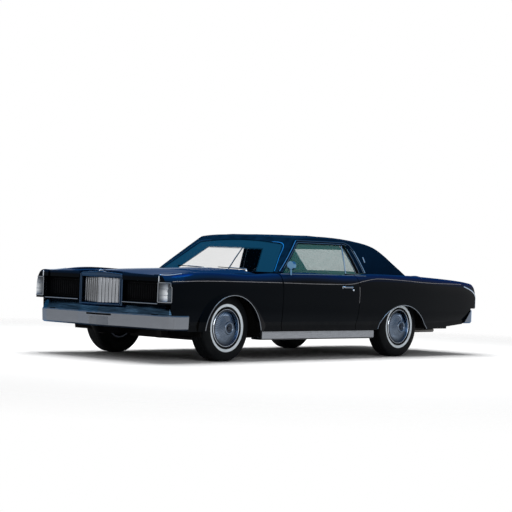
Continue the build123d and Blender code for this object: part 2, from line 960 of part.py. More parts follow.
front_house_radius, front_house_z = 452, 330
front_wheelhouse = trimmed(
    rod_x(front_axle, front_house_z, front_house_radius, 480, half_width - 53),
    keep=[joined(inside_skin, block(400, 700, nose, 0, 0, 900)), block(400, 1000, nose + 345, 0, 262, 900)],
    cut=[
        rod_x(front_axle, front_house_z, front_house_radius - 12, 492, 1100),
        block(400, 520, front_axle - 90, front_axle + 90, 100, 560),
    ],
)
rear_wheelhouse = trimmed(
    rod_x(rear_axle, rear_house_z, rear_house_radius, 628, 1000),
    keep=[joined(inside_skin, block(400, 700, 0, tail, 0, 900)), block(400, 1000, 0, tail, 330, 900)],
    cut=[
        rod_x(rear_axle, rear_house_z, rear_house_radius - 12, 640, 1100),
        block(600, 660, rear_axle - 80, rear_axle + 80, 300, 450),
    ],
)
front_wheelhouses = both_sides(front_wheelhouse)
rear_wheelhouses = both_sides(rear_wheelhouse)

# Cabin
dashboard_outline = [
    (cowl_front + 12.3, 720),
    (cowl_front + 12.3, 925),
    (door_front + 235, 912),
    (door_front + 268, 880),
    (door_front + 262, 780),
    (door_front + 200, 700),
    (door_front + 60, 680),
]
wheel_centre = (370, door_front + 410, 800)
column_tilt = 25
column_out = (0, cos(radians(column_tilt)), sin(radians(column_tilt)))
column_plane = Plane(origin=wheel_centre, x_dir=(1, 0, 0), z_dir=column_out)
shaft_radius = 12
with BuildPart() as column:
    with BuildSketch(column_plane.offset(-300)):
        Circle(28)
    extrude(amount=274)
with BuildPart() as column_bore:
    with BuildSketch(column_plane.offset(-160)):
        Circle(shaft_radius + pin_play)
    extrude(amount=160)
dashboard = trimmed(
    joined(side_prism(dashboard_outline, -pad_inner + seat_gap, pad_inner - seat_gap), column.part),
    cut=[column_bore.part],
)

wheel_radius = 195
with BuildPart() as steering_wheel:
    with BuildSketch(Plane(origin=wheel_centre, x_dir=(1, 0, 0), z_dir=(0, -column_out[2], column_out[1]))):
        with Locations((wheel_radius, 0)):
            Circle(13)
    revolve(axis=Axis(wheel_centre, column_out), revolution_arc=360)
    with BuildSketch(column_plane.offset(-20)):
        Circle(46)
    extrude(amount=26)
    with BuildSketch(column_plane.offset(-8)):
        Rectangle(2 * wheel_radius, 34)
    extrude(amount=10)
    with BuildSketch(column_plane.offset(-150)):
        Circle(shaft_radius)
    extrude(amount=140)

seat_half = 620
seat_base = floor_height + floor_thickness + seat_gap
front_seat = side_prism(
    [
        (door_front + 530, seat_base),
        (door_front + 525, 500),
        (door_front + 560, 552),
        (door_front + 960, 520),
        (door_front + 1090, 870),
        (door_front + 1130, 905),
        (door_front + 1180, 900),
        (door_front + 1215, 850),
        (door_front + 1120, seat_base),
    ],
    -seat_half,
    seat_half,
)
front_seat = trimmed(
    front_seat, cut=[block(-tunnel_half - 3, tunnel_half + 3, door_front, door_rear, 0, tunnel_top + 3)]
)
rear_seat = side_prism(
    [
        (riser_y - 440, seat_base),
        (riser_y - 440, 490),
        (riser_y - 400, 530),
        (riser_y - 60, 500),
        (riser_y + 30, 850),
        (riser_y + 60, 885),
        (riser_y + 120, 885),
        (riser_y + 140, 850),
        (riser_y + 100, trunk_floor + 12.3),
        (riser_y - 0.3, trunk_floor + 12.3),
        (riser_y - 0.3, seat_base),
    ],
    -seat_half,
    seat_half,
)
rear_seat = trimmed(
    rear_seat, cut=[block(-tunnel_half - 3, tunnel_half + 3, 0, riser_y + 20, 0, tunnel_top + 3)]
)

# Engine, drive and tank
engine = joined(
    block(-270, 270, front_axle - 176, front_axle + 604, rail_high, 800),
    block(-110, 110, front_axle + 600, front_axle + 1324, rail_high, 415),
)
driveshaft = rod_y(0, shaft_z, prop_radius, front_axle + 1324, pinion_y)
with BuildPart() as axle_housing:
    add(rod_x(rear_axle, axle_height, 42, -750, 750))
    with Locations((0, rear_axle, axle_height)):
        Sphere(122)
    add(rod_y(0, shaft_z, 60, pinion_y, rear_axle))
    for x in (-750, 690):
        add(rod_x(rear_axle, axle_height, 140, x, x + 60))
    add(rod_x(rear_axle, axle_height, spindle_radius, -half_track - 24, half_track + 24))
    for x in (-510, 510):
        add(rod_z(x, rear_axle, 34, axle_height, trunk_floor - 70))
rear_axle_part = axle_housing.part

radiator = block(-320, 320, nose + 250, nose + 305, radiator_foot, 820)
fuel_tank = block(-300, 300, rear_axle + 470, tail - 390, 240, trunk_well - 0.3)

with BuildPart() as left_exhaust:
    with BuildLine():
        route = FilletPolyline(
            (exhaust_x, front_axle + 500, exhaust_z),
            (exhaust_x, rear_axle - 225, exhaust_z),
            (exhaust_x, rear_axle - 90, 450),
            (exhaust_x, rear_axle + 90, 450),
            (exhaust_x, rear_axle + 260, 270),
            (exhaust_x, tail - 70, 270),
            radius=80,
        )
    with BuildSketch(Plane(origin=route @ 0, z_dir=route % 0)):
        Circle(exhaust_radius)
    sweep()
    add(rod_y(exhaust_x, exhaust_z, 44, front_axle + 1500, front_axle + 2200))
exhaust = both_sides(left_exhaust.part)

# Front suspension, knuckles and wheels
arm_depth = 18


def control_arm(z):
    """A control arm with the bore for a knuckle's pin."""
    half_arm = [(0, 70), (170, 26), (252, 22)]
    rail_side = front_rail[1]
    outline = [(rail_side + x, front_axle + y) for x, y in half_arm]
    outline += [(rail_side + x, front_axle - y) for x, y in reversed(half_arm)]
    return trimmed(
        plan_prism(outline, z, z + arm_depth),
        cut=[rod_z(kingpin_x, front_axle, 10 + pin_play, z - 1, z + arm_depth + 1)],
    )


suspension_side = joined(
    control_arm(ball_low),
    trimmed(control_arm(ball_high), keep=[block(480, 900, nose, 0, 0, 900)]),
)
front_suspension = both_sides(suspension_side)

left_knuckle = joined(
    block(
        kingpin_x - 20,
        kingpin_x + 20,
        front_axle - 24,
        front_axle + 24,
        ball_low + arm_depth + 2,
        ball_high - 2,
    ),
    rod_z(kingpin_x, front_axle, 10, ball_low + 1, ball_high + arm_depth - 1),
    rod_x(front_axle, axle_height, spindle_radius, kingpin_x, half_track + 24),
    rod_x(front_axle, axle_height, 100, kingpin_x + 34, kingpin_x + 56),
    rod_x(front_axle, axle_height, 44, kingpin_x, kingpin_x + 40),
)


def wheel_pair(axle_y):
    """A left tyre and wheel on one axle."""
    hub = Plane(origin=(half_track, axle_y, axle_height), x_dir=(0, 0, 1), z_dir=(0, 1, 0))
    spin = Axis((half_track, axle_y, axle_height), (1, 0, 0))
    half_tyre = tyre_width / 2
    shoulder = tyre_radius - 22
    wall_middle = (rim_radius + tyre_radius) / 2 - 6
    with BuildPart() as tyre:
        with BuildSketch(hub):
            with BuildLine():
                Line((rim_radius, 84), (rim_radius, -84))
                ThreePointArc((rim_radius, -84), (wall_middle, -half_tyre), (shoulder, -94))
                ThreePointArc((shoulder, -94), (tyre_radius - 6, -86), (tyre_radius, -70))
                Line((tyre_radius, -70), (tyre_radius, 70))
                ThreePointArc((tyre_radius, 70), (tyre_radius - 6, 86), (shoulder, 94))
                ThreePointArc((shoulder, 94), (wall_middle, half_tyre), (rim_radius, 84))
            make_face()
        revolve(axis=spin, revolution_arc=360)
    with BuildPart() as wheel:
        with BuildSketch(hub):
            with BuildLine():
                Polyline(
                    (0, 30),
                    (hub_bore, 30),
                    (hub_bore, -20),
                    (60, -20),
                    (60, 24),
                    (rim_radius - rim_wall, 24),
                    (rim_radius - rim_wall, -84),
                    (rim_radius - 0.2, -84),
                    (rim_radius - 0.2, 84),
                    (186, 92),
                )
                Spline((186, 92), (150, 100), (80, 108), (0, 111))
                Line((0, 111), (0, 30))
            make_face()
        revolve(axis=spin, revolution_arc=360)
    return tyre.part, wheel.part


front_tyre, front_wheel = wheel_pair(front_axle)
rear_tyre, rear_wheel = wheel_pair(rear_axle)

pieces = {
    "chassis_frame": chassis_frame,
    "frame_crossmembers": frame_crossmembers,
    "floor_pan": floor_pan,
    "trunk_floor": trunk_floor_pan,
    "cowl": cowl,
    "roof": roof,
    "windshield_frame": windshield_frame,
    "windshield": windshield,
    "rear_window": rear_window,
    "quarter_windows": quarter_windows,
    "left_front_fender": left_front_fender,
    "right_front_fender": mirrored(left_front_fender),
    "left_quarter_panel": left_quarter_panel,
    "right_quarter_panel": mirrored(left_quarter_panel),
    "rear_deck": rear_deck,
    "rear_panel": rear_panel,
    "grille": grille,
    "header_panel": header_panel,
    "front_bumper": front_bumper,
    "rear_bumper": rear_bumper,
    "parking_lamps": parking_lamps,
    "tail_lamps": tail_lamps,
    "headlamps": headlamps,
    "rocker_panels": rocker_panels,
    "front_wheelhouses": front_wheelhouses,
    "rear_wheelhouses": rear_wheelhouses,
    "dashboard": dashboard,
    "front_seat": front_seat,
    "rear_seat": rear_seat,
    "front_suspension": front_suspension,
    "rear_axle": rear_axle_part,
    "engine": engine,
    "driveshaft": driveshaft,
    "exhaust": exhaust,
    "fuel_tank": fuel_tank,
    "radiator": radiator,
    "hood": hood,
    "trunk_lid": trunk_lid,
    "left_door": left_door,
    "right_door": mirrored(left_door),
    "left_door_window": left_door_window,
    "right_door_window": mirrored(left_door_window),
    "door_mirror": door_mirror,
    "left_headlight_cover": left_headlight_cover,
    "right_headlight_cover": mirrored(left_headlight_cover),
    "steering_wheel": steering_wheel.part,
    "left_knuckle": left_knuckle,
    "right_knuckle": mirrored(left_knuckle),
    "left_front_tyre": front_tyre,
    "right_front_tyre": mirrored(front_tyre),
    "left_rear_tyre": rear_tyre,
    "right_rear_tyre": mirrored(rear_tyre),
    "left_front_wheel": front_wheel,
    "right_front_wheel": mirrored(front_wheel),
    "left_rear_wheel": rear_wheel,
    "right_rear_wheel": mirrored(rear_wheel),
}
for name, piece in pieces.items():
    piece.label = name
    export_step(piece, f"parts/{name}.step")
    print(name, "solids", len(piece.solids()), "volume", round(piece.volume))
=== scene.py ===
import json
from math import atan2, copysign, cos, exp, hypot, pi, radians, sin, sqrt, tau

import bmesh
import bpy
from mathutils import Matrix, Vector
from mathutils.bvhtree import BVHTree


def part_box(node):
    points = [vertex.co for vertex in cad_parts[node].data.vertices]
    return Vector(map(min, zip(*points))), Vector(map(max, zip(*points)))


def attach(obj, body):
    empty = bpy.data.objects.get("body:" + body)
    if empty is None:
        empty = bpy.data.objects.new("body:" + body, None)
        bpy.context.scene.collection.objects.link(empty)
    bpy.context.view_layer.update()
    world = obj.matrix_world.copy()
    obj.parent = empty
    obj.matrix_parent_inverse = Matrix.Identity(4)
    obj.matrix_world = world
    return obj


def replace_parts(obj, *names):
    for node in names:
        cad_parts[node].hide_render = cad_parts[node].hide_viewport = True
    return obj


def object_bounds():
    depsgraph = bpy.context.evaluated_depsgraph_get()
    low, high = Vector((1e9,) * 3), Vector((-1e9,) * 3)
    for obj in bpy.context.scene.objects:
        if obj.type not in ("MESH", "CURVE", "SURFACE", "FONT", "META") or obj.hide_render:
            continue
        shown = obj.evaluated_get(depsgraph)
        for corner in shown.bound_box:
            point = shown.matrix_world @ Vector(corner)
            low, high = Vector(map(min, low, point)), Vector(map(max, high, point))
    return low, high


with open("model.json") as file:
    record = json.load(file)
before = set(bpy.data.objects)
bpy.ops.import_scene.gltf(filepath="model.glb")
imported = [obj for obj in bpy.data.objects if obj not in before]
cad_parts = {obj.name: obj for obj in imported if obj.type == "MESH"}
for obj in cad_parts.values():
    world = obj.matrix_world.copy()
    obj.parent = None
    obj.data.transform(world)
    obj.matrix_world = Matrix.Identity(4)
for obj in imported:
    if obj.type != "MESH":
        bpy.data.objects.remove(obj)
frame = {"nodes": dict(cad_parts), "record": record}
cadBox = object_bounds()
nodes = frame["nodes"]
print("frame loaded:", len(nodes), "nodes")

# where the main things stand, read from the frame, in metres
tyreLow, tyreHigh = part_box("left_front_tyre")
tyreRadius = (tyreHigh.z - tyreLow.z) / 2
frontAxle = (tyreLow.y + tyreHigh.y) / 2
rearAxle = sum(corner.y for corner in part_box("left_rear_tyre")) / 2
halfTrack = (tyreLow.x + tyreHigh.x) / 2
nose, tail = cadBox[0].y, cadBox[1].y
doorFront, doorRear = (corner.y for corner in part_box("left_door"))
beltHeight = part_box("left_quarter_panel")[1].z
sides = ((1, "left"), (-1, "right"))
black, white = (0, 0, 0), (1, 1, 1)


def fill(tree, slot, value):
    # a socket's link, or its plain value
    if isinstance(value, Value):
        tree.links.new(value.socket, slot)
    else:
        slot.default_value = value


class Value:
    # a socket that takes part in sums; each sum adds its Math node
    def __init__(self, tree, socket):
        self.tree, self.socket = tree, socket

    def sum(self, operation, first, second):
        made = self.tree.nodes.new("ShaderNodeMath")
        made.operation = operation
        fill(self.tree, made.inputs[0], first)
        fill(self.tree, made.inputs[1], second)
        return Value(self.tree, made.outputs[0])

    __add__ = lambda self, other: self.sum("ADD", self, other)
    __radd__ = lambda self, other: self.sum("ADD", other, self)
    __sub__ = lambda self, other: self.sum("SUBTRACT", self, other)
    __rsub__ = lambda self, other: self.sum("SUBTRACT", other, self)
    __mul__ = lambda self, other: self.sum("MULTIPLY", self, other)
    __rmul__ = lambda self, other: self.sum("MULTIPLY", other, self)
    __truediv__ = lambda self, other: self.sum("DIVIDE", self, other)
    __gt__ = lambda self, other: self.sum("GREATER_THAN", self, other)
    __lt__ = lambda self, other: self.sum("LESS_THAN", self, other)
    __abs__ = lambda self: self.sum("ABSOLUTE", self, 0.0)


class Shading:
    # the node tree of a material or of the world
    def __init__(self, owner):
        owner.use_nodes = True
        self.tree = owner.node_tree

    def node(self, kind, settings=None, inputs=None, output=0):
        # any node: its settings first, then the values or links of its sockets
        made = self.tree.nodes.new(kind)
        for key, value in (settings or {}).items():
            if key == "stops":
                stops = made.color_ramp.elements
                while len(stops) < len(value):
                    stops.new(0.5)
                for stop, (place, colour) in zip(stops, value):
                    stop.position, stop.color = place, (*colour, 1.0)
            else:
                setattr(made, key, value)
        for key, value in (inputs or {}).items():
            fill(self.tree, made.inputs[key], value)
        return Value(self.tree, made.outputs[output])


class Finish(Shading):
    # one material: its main shader and the ways to feed it
    def __init__(self, name, **plain):
        self.material = bpy.data.materials.new(name)
        super().__init__(self.material)
        self.shader = self.tree.nodes["Principled BSDF"]
        for key, value in plain.items():
            colour = isinstance(value, tuple) and len(value) == 3
            fill(self.tree, self.socket(key), (*value, 1.0) if colour else value)

    def socket(self, key):
        # baseColor means Base Color, and specularIorLevel means Specular IOR Level
        words = "".join(" " + c if c.isupper() else c for c in key).split()
        return self.shader.inputs[" ".join(w.capitalize() for w in words).replace("Ior", "IOR")]

    def feed(self, **values):
        for key, value in values.items():
            fill(self.tree, self.socket(key), value)
        return self.material

    def place(self):
        return self.node("ShaderNodeTexCoord", output="Object")

    def axes(self, place=None):
        split = self.node("ShaderNodeSeparateXYZ", None, {"Vector": place or self.place()})
        return [Value(self.tree, out) for out in split.socket.node.outputs]

    def facing(self, axis=2):
        # how far a face looks up, or along another axis, from -1 to 1
        return self.axes(self.node("ShaderNodeNewGeometry", output="Normal"))[axis]

    def noise(self, scale, detail=3.0, roughness=0.5, vector=None):
        inputs = {"Vector": vector or self.place(), "Scale": scale}
        return self.node("ShaderNodeTexNoise", None, {**inputs, "Detail": detail, "Roughness": roughness})

    def cells(self, scale):
        inputs = {"Vector": self.place(), "Scale": scale}
        return self.node("ShaderNodeTexVoronoi", {"feature": "DISTANCE_TO_EDGE"}, inputs)

    def stretched(self, *scale):
        return self.node("ShaderNodeMapping", None, {"Vector": self.place(), "Scale": scale})

    def ramp(self, factor, *stops):
        return self.node("ShaderNodeValToRGB", {"stops": stops}, {"Fac": factor})

    def blend(self, factor, first, second, way="MIX"):
        # sockets 6 and 7 are the two colours of a colour mix
        settings = {"data_type": "RGBA", "blend_type": way}
        return self.node("ShaderNodeMix", settings, {"Factor": factor, 6: first, 7: second}, output=2)

    def bump(self, height, distance, strength=1.0, onto=None):
        inputs = {"Height": height, "Distance": distance, "Strength": strength}
        if onto:
            inputs["Normal"] = onto
        return self.node("ShaderNodeBump", None, inputs)

    def range(self, value, low, high):
        # value, from 0 to 1, spread from low to high
        return value * (high - low) + low

    def dull(self, factor, colour):
        # part of the surface scatters light with no gloss
        matt = self.node("ShaderNodeBsdfDiffuse", None, {"Color": colour})
        glossy = Value(self.tree, self.shader.outputs[0])
        mix = self.node("ShaderNodeMixShader", None, {0: factor, 1: glossy, 2: matt})
        fill(self.tree, self.tree.nodes["Material Output"].inputs["Surface"], mix)


def bodyPaint():
    # deep midnight black, glossy, with a trace of dust low down and orange peel; the blue gloss tint and the
    # blue on up-facing faces are painted sky reflection
    made = Finish("bodyPaint", specularTint=(0.12, 0.3, 0.55), specularIorLevel=0.05)
    x, y, z = made.axes()
    # the brow over the headlights rolls over, so its front gets the painted sky reflection as if it faced half
    # upward
    browPaintedSkyShare = made.ramp(z, (0.83, (0.2, 0.2, 0.2)), (0.90, white))
    facing = made.facing() + (z > 0.832) * (y < -2.45) * browPaintedSkyShare * 0.62
    # painted sky reflection: near black on the sides, blue on faces that look up
    paintedSkyReflection = made.ramp(facing, (0.3, (0.0004, 0.0007, 0.0012)), (0.95, (0.010, 0.040, 0.110)))
    # a matt share that grows on up-facing faces; its blue is painted sky light
    made.dull(made.ramp(facing, (0.3, black), (0.9, (0.86, 0.86, 0.86))),
              made.ramp(facing, (0.3, (0.0006, 0.001, 0.002)), (0.95, (0.0022, 0.016, 0.056))))
    dust = made.noise(9.0, 5.0) * (z < 0.42) * 0.5
    return made.feed(
        metallic=made.ramp(facing, (0.25, black), (0.8, white)),
        baseColor=made.blend(dust, paintedSkyReflection, (0.012, 0.011, 0.01, 1)),
        roughness=made.range(made.noise(40.0, 2.0), 0.03, 0.09),
        normal=made.bump(made.noise(420.0, 2.0), 0.0002, 0.25),
    )


def vinylTop():
    # grained padded vinyl, dark navy, with painted sky light making up-facing faces lighter and bluer
    made = Finish("vinylTop", specularIorLevel=0.0)
    worn = made.noise(6.0, 4.0)
    # painted sky light on faces that look up, mixed with random wear
    paintedSkyLightAndWear = made.facing() * 0.8 + worn * 0.2
    return made.feed(
        baseColor=made.ramp(paintedSkyLightAndWear, (0.3, (0.0012, 0.0055, 0.015)), (0.85, (0.0018, 0.012, 0.034))),
        roughness=made.range(worn, 0.42, 0.56),
        normal=made.bump(made.cells(420.0) * 6.0, 0.0006, 0.55, made.bump(made.noise(55.0), 0.002, 0.15)),
    )


def chrome(name, tone, low=0.05, high=0.14, ledge=None):
    # plate whose colour is a painted reflection: pale at its sides, blue on up-facing faces and dark on
    # down-facing ones, with a blue edge tint
    made = Finish(name, metallic=1.0, specularTint=(0.45, 0.62, 0.9))
    haze = made.noise(14.0, 6.0, 0.6)
    # painted sky reflection on faces that look up, painted ground shade on faces that look down
    paintedSkyTone = (tone[0] * 0.20, tone[1] * 0.36, tone[2] * 0.56)
    paintedGroundShade, paintedLowShade = (tuple(c * share for c in tone) for share in (0.16, 0.82))
    paintedReflectionLevel = made.facing() * 0.42 + 0.5 + (haze - 0.5) * 0.16
    plate = made.ramp(paintedReflectionLevel, (0.12, paintedGroundShade), (0.36, paintedLowShade), (0.58, tone), (0.70, paintedSkyTone), (0.9, paintedSkyTone))
    roughness = made.range(haze, low, high)
    if ledge:
        # the front bumper's ledge gets a painted reflection of the dark nose, with level blue streaks
        x, y, z = made.axes()
        streaks = made.noise(1.0, 5.0, 0.65, made.stretched(5.0, 5.0, 60.0))
        shelf = made.ramp(streaks, (0.40, (0.009, 0.017, 0.028)), (0.58, (0.020, 0.044, 0.075)),
                          (0.72, (0.055, 0.11, 0.18)))
        plate = made.blend((z > ledge) * (y < -2.0), plate, shelf)
        roughness = made.range(streaks, 0.10, 0.30)
    polish = made.bump(made.noise(90.0, 3.0), 0.0004, 0.12)
    return made.feed(baseColor=plate, roughness=roughness, normal=polish)


def brushed(name, tone, along, scale=900.0, shade=0.0):
    # bright metal brushed along one axis
    made = Finish(name, metallic=1.0)
    spread = [scale, scale, scale]
    spread[along] = scale * 0.01
    lines = made.noise(1.0, 2.0, 0.5, made.stretched(*spread))
    plate = made.ramp(lines, (0.3, tuple(c * 0.7 for c in tone)), (0.7, tone))
    if shade:
        # painted shade: faces turned to the car's right are darker, as if they mirrored darker ground
        turned = made.ramp(made.facing(0) * 0.5 + 0.5, (0.44, black), (0.53, white))
        plate = made.blend(turned, (*(c * shade for c in tone), 1), plate)
    roughness = made.range(lines, 0.2, 0.34)
    return made.feed(baseColor=plate, roughness=roughness, normal=made.bump(lines, 0.0003, 0.3))


def tintedGlass(name, colour, clear, edge, band=None, farSide=0.0):
    # a thin sheet; a windshield's curved ends and top, given by band, are deeper in tint: the ends are painted
    # shade, and the top is a tint band deepened with painted shade
    made = Finish(name, baseColor=colour, roughness=0.02, specularTint=(0.7, 0.88, 1.0),
                  specularIorLevel=0.0 if band else 0.2)
    made.material.use_backface_culling = False
    x, y, z = made.axes()
    if band:
        # painted shade at the windshield's ends and along its top
        ends = made.ramp(abs(x) + (z - beltHeight) * 0.72, (band[0], black), (band[1], white))
        top = made.ramp(z - 0.5, (band[2] - 0.5, black), (band[3] - 0.5, white))
        return made.feed(alpha=made.range(ends.sum("MAXIMUM", ends, top), clear, edge))
    # glass on the car's right is read through the cabin, so it is clearer
    return made.feed(alpha=made.range(made.noise(3.0, 2.0), clear, edge) - (x < 0.0) * farSide)


def softStuff(name, dark, light, rough, scale, depth, strength=0.4, **plain):
    # matt stuff with grain: rubber, carpet, padding, sound deadener
    made = Finish(name, **plain)
    patch = made.noise(scale * 0.04, 4.0)
    return made.feed(
        baseColor=made.ramp(patch, (0.3, dark), (0.7, light)),
        roughness=made.range(patch, rough - 0.06, rough + 0.06),
        normal=made.bump(made.noise(scale, 4.0), depth, strength),
    )


def leather(name, dark, light):
    made = Finish(name, specularTint=(0.9, 0.95, 1.0), ior=1.42)
    creases, worn = made.noise(34.0, 6.0, 0.65), made.noise(5.0, 4.0)
    return made.feed(
        baseColor=made.ramp(worn * 0.6 + creases * 0.4, (0.35, dark), (0.62, light)),
        roughness=made.range(worn, 0.42, 0.58),
        normal=made.bump(made.cells(260.0) * 5.0, 0.0007, 0.4, made.bump(creases, 0.002, 0.25)),
    )


def ribbedLens(name, colour, alpha, ribs):
    # moulded lens with upright ribs
    made = Finish(name, baseColor=colour, roughness=0.08, alpha=alpha)
    settings = {"wave_type": "BANDS", "bands_direction": "X", "wave_profile": "SIN"}
    wave = made.node("ShaderNodeTexWave", settings, {"Vector": made.place(), "Scale": ribs, "Distortion": 0.0})
    return made.feed(normal=made.bump(wave, 0.002, 0.6))


def cornerLensStuff():
    # clear lens round the corner, with a painted highlight where it turns and painted shade towards its ends
    made = Finish("cornerLens", roughness=0.08, specularIorLevel=0.3)
    x, y, z = made.axes()
    out = abs(x) + (y - nose) * 0.6 + (made.noise(30.0, 3.0) - 0.5) * 0.03
    # painted highlight across the middle of the lens, painted shade at its ends, top and bottom
    across = made.ramp(out, (0.885, (0.05, 0.06, 0.07)), (0.93, (0.34, 0.37, 0.40)),
                       (0.972, (0.90, 0.94, 0.98)), (1.0, (0.62, 0.66, 0.70)), (1.028, (0.06, 0.08, 0.10)))
    tall = made.ramp(z, (0.62, (0.06, 0.14, 0.26)), (0.665, white), (0.715, (0.9, 0.9, 0.9)),
                     (0.765, (0.4, 0.42, 0.45)), (0.806, (0.03, 0.05, 0.08)))
    paintedHighlightAndShade = made.blend(1.0, across, tall, "MULTIPLY")
    return made.feed(baseColor=paintedHighlightAndShade, normal=made.bump(made.noise(160.0, 1.0), 0.002, 0.4))


def woodGrain():
    made = Finish("dashWood", coatWeight=0.5, coatRoughness=0.12)
    grain = made.noise(5.0, 6.0, 0.6, made.stretched(3.0, 30.0, 30.0))
    return made.feed(
        baseColor=made.ramp(grain, (0.3, (0.035, 0.012, 0.005)), (0.7, (0.12, 0.05, 0.02))),
        roughness=made.range(grain, 0.3, 0.45),
    )


paint = bodyPaint()
vinyl = vinylTop()
# the blue tints in these chrome tones, and the near-black blue of shellChrome, dripTrim and screenTrim, are
# painted sky reflection
brightTrim = chrome("brightTrim", (0.55, 0.60, 0.66))
bumperChrome = chrome("bumperChrome", (0.175, 0.187, 0.208), 0.14, 0.26, ledge=0.482)
coverChrome = chrome("coverChrome", (0.125, 0.155, 0.20), 0.10, 0.22)
coverDark = chrome("coverDark", (0.035, 0.04, 0.05), 0.2, 0.35)
lipTrim = chrome("lipTrim", (0.20, 0.215, 0.235), 0.12, 0.24)
mirrorChrome = chrome("mirrorChrome", (0.12, 0.25, 0.40), 0.08, 0.2)
shellChrome = chrome("shellChrome", (0.030, 0.050, 0.085), 0.08, 0.2)
frameTrim = chrome("frameTrim", (0.13, 0.17, 0.22), 0.10, 0.22)
dripTrim = chrome("dripTrim", (0.035, 0.060, 0.095), 0.10, 0.22)
screenTrim = chrome("screenTrim", (0.022, 0.060, 0.115), 0.08, 0.2)
grilleMetal = brushed("grilleMetal", (0.31, 0.325, 0.35), 2, shade=0.2)
rockerMetal = brushed("rockerMetal", (0.245, 0.26, 0.285), 1)
screenGlass = tintedGlass("screenGlass", (0.0030, 0.029, 0.062), 0.01, 0.95, (0.575, 0.60, 1.188, 1.212))
rearGlass = tintedGlass("rearGlass", (0.20, 0.32, 0.29), 0.06, 0.10)
sideGlass = tintedGlass("sideGlass", (0.020, 0.115, 0.112), 0.40, 0.44, farSide=0.30)
rubber = softStuff("tyreRubber", (0.0025, 0.003, 0.004), (0.005, 0.006, 0.007), 0.62, 220.0, 0.001,
                   specularIorLevel=0.05)
blackTrim = softStuff("blackTrim", (0.0006, 0.0007, 0.001), (0.002, 0.0022, 0.0028), 0.55, 300.0, 0.0008,
                      specularIorLevel=0.01)
coverPaint = softStuff("coverPaint", (0.0012, 0.0014, 0.002), (0.003, 0.0034, 0.0045), 0.35, 300.0, 0.0004, 0.3,
                       specularIorLevel=0.04)
whiteRubber = softStuff("whiteRubber", (0.50, 0.56, 0.61), (0.60, 0.66, 0.71), 0.5, 180.0, 0.0006, 0.2)
frameSteel = softStuff("frameSteel", (0.006, 0.006, 0.007), (0.012, 0.011, 0.010), 0.55, 60.0, 0.002,
                       specularIorLevel=0.08)
castIron = softStuff("castIron", (0.018, 0.018, 0.019), (0.035, 0.034, 0.033), 0.5, 120.0, 0.002)
engineBlue = softStuff("engineBlue", (0.006, 0.022, 0.075), (0.010, 0.035, 0.11), 0.35, 90.0, 0.0008, 0.3,
                       coatWeight=0.3)
bareSteel = softStuff("bareSteel", (0.05, 0.048, 0.046), (0.11, 0.105, 0.10), 0.42, 50.0, 0.001, 0.3,
                      metallic=1.0)
deadener = softStuff("deadener", (0.002, 0.002, 0.002), (0.006, 0.006, 0.006), 0.85, 160.0, 0.004, 0.8,
                     specularIorLevel=0.03)
carpet = softStuff("carpet", (0.010, 0.014, 0.024), (0.022, 0.030, 0.048), 0.95, 900.0, 0.004, 0.9,
                   sheenWeight=0.4)
padding = softStuff("padding", (0.004, 0.008, 0.012), (0.007, 0.013, 0.020), 0.6, 500.0, 0.0008, 0.5,
                    specularIorLevel=0.08)
headliner = softStuff("headliner", (0.05, 0.06, 0.065), (0.075, 0.085, 0.09), 0.9, 700.0, 0.001, 0.4)
dialFace = softStuff("dialFace", (0.01, 0.01, 0.012), (0.014, 0.014, 0.016), 0.4, 400.0, 0.0002, 0.1)
dialMark = softStuff("dialMark", (0.5, 0.5, 0.48), (0.6, 0.6, 0.58), 0.4, 400.0, 0.0002, 0.1)
pinLine = softStuff("pinLine", (0.10, 0.10, 0.11), (0.16, 0.16, 0.17), 0.3, 200.0, 0.0002, 0.1, metallic=0.6)
pillarPaint = softStuff("pillarPaint", (0.0008, 0.0065, 0.018), (0.0015, 0.012, 0.032), 0.5, 300.0, 0.0002, 0.1,
                        specularIorLevel=0.0)
plateMetal = softStuff("plateMetal", (0.085, 0.10, 0.12), (0.12, 0.135, 0.16), 0.35, 60.0, 0.0006, 0.3)
seatHide = leather("seatHide", (0.40, 0.385, 0.34), (0.60, 0.58, 0.52))
darkHide = leather("darkHide", (0.012, 0.016, 0.026), (0.024, 0.03, 0.046))
clearLens = ribbedLens("clearLens", (0.21, 0.23, 0.25), 0.72, 8.0)
redLens = ribbedLens("redLens", (0.30, 0.006, 0.008), 0.92, 6.0)
cornerLens = cornerLensStuff()
dashWood = woodGrain()

finishOf = {
    paint: "L_front_fender L_quarter_panel rear_deck rear_panel header_panel hood trunk_lid L_door cowl",
    pillarPaint: "windshield_frame",
    mirrorChrome: "door_mirror",
    coverDark: "L_front_wheel L_rear_wheel",
    blackTrim: "L_headlight_cover",
    vinyl: "roof",
    shellChrome: "grille",
    bumperChrome: "front_bumper rear_bumper",
    rockerMetal: "rocker_panels",
    screenGlass: "windshield",
    rearGlass: "rear_window",
    sideGlass: "L_door_window quarter_windows",
    clearLens: "headlamps",
    cornerLens: "parking_lamps",
    redLens: "tail_lamps",
    frameSteel: "chassis_frame frame_crossmembers front_suspension rear_axle driveshaft L_knuckle",
    bareSteel: "exhaust fuel_tank",
    deadener: "front_wheelhouses rear_wheelhouses radiator",
    carpet: "floor_pan trunk_floor",
    castIron: "engine",
    padding: "dashboard steering_wheel",
    rubber: "L_front_tyre L_rear_tyre",
    seatHide: "front_seat rear_seat",
}


def bothSides(names):
    # a line of node names, in which L_ stands for left_ and right_
    made = []
    for name in names.split():
        made += [word + name[2:] for word in ("left_", "right_")] if name[:2] == "L_" else [name]
    return made


for finish, names in finishOf.items():
    for name in bothSides(names):
        for slot in nodes[name].material_slots:
            slot.material = finish
print("materials made")

bodyOf = {}
for body, members in frame["record"]["behaviour"]["bodies"].items():
    for member in members:
        bodyOf[member] = body


def spread(first, last, count):
    # values from first to last, in equal steps
    return [first + (last - first) * i / count for i in range(count + 1)]


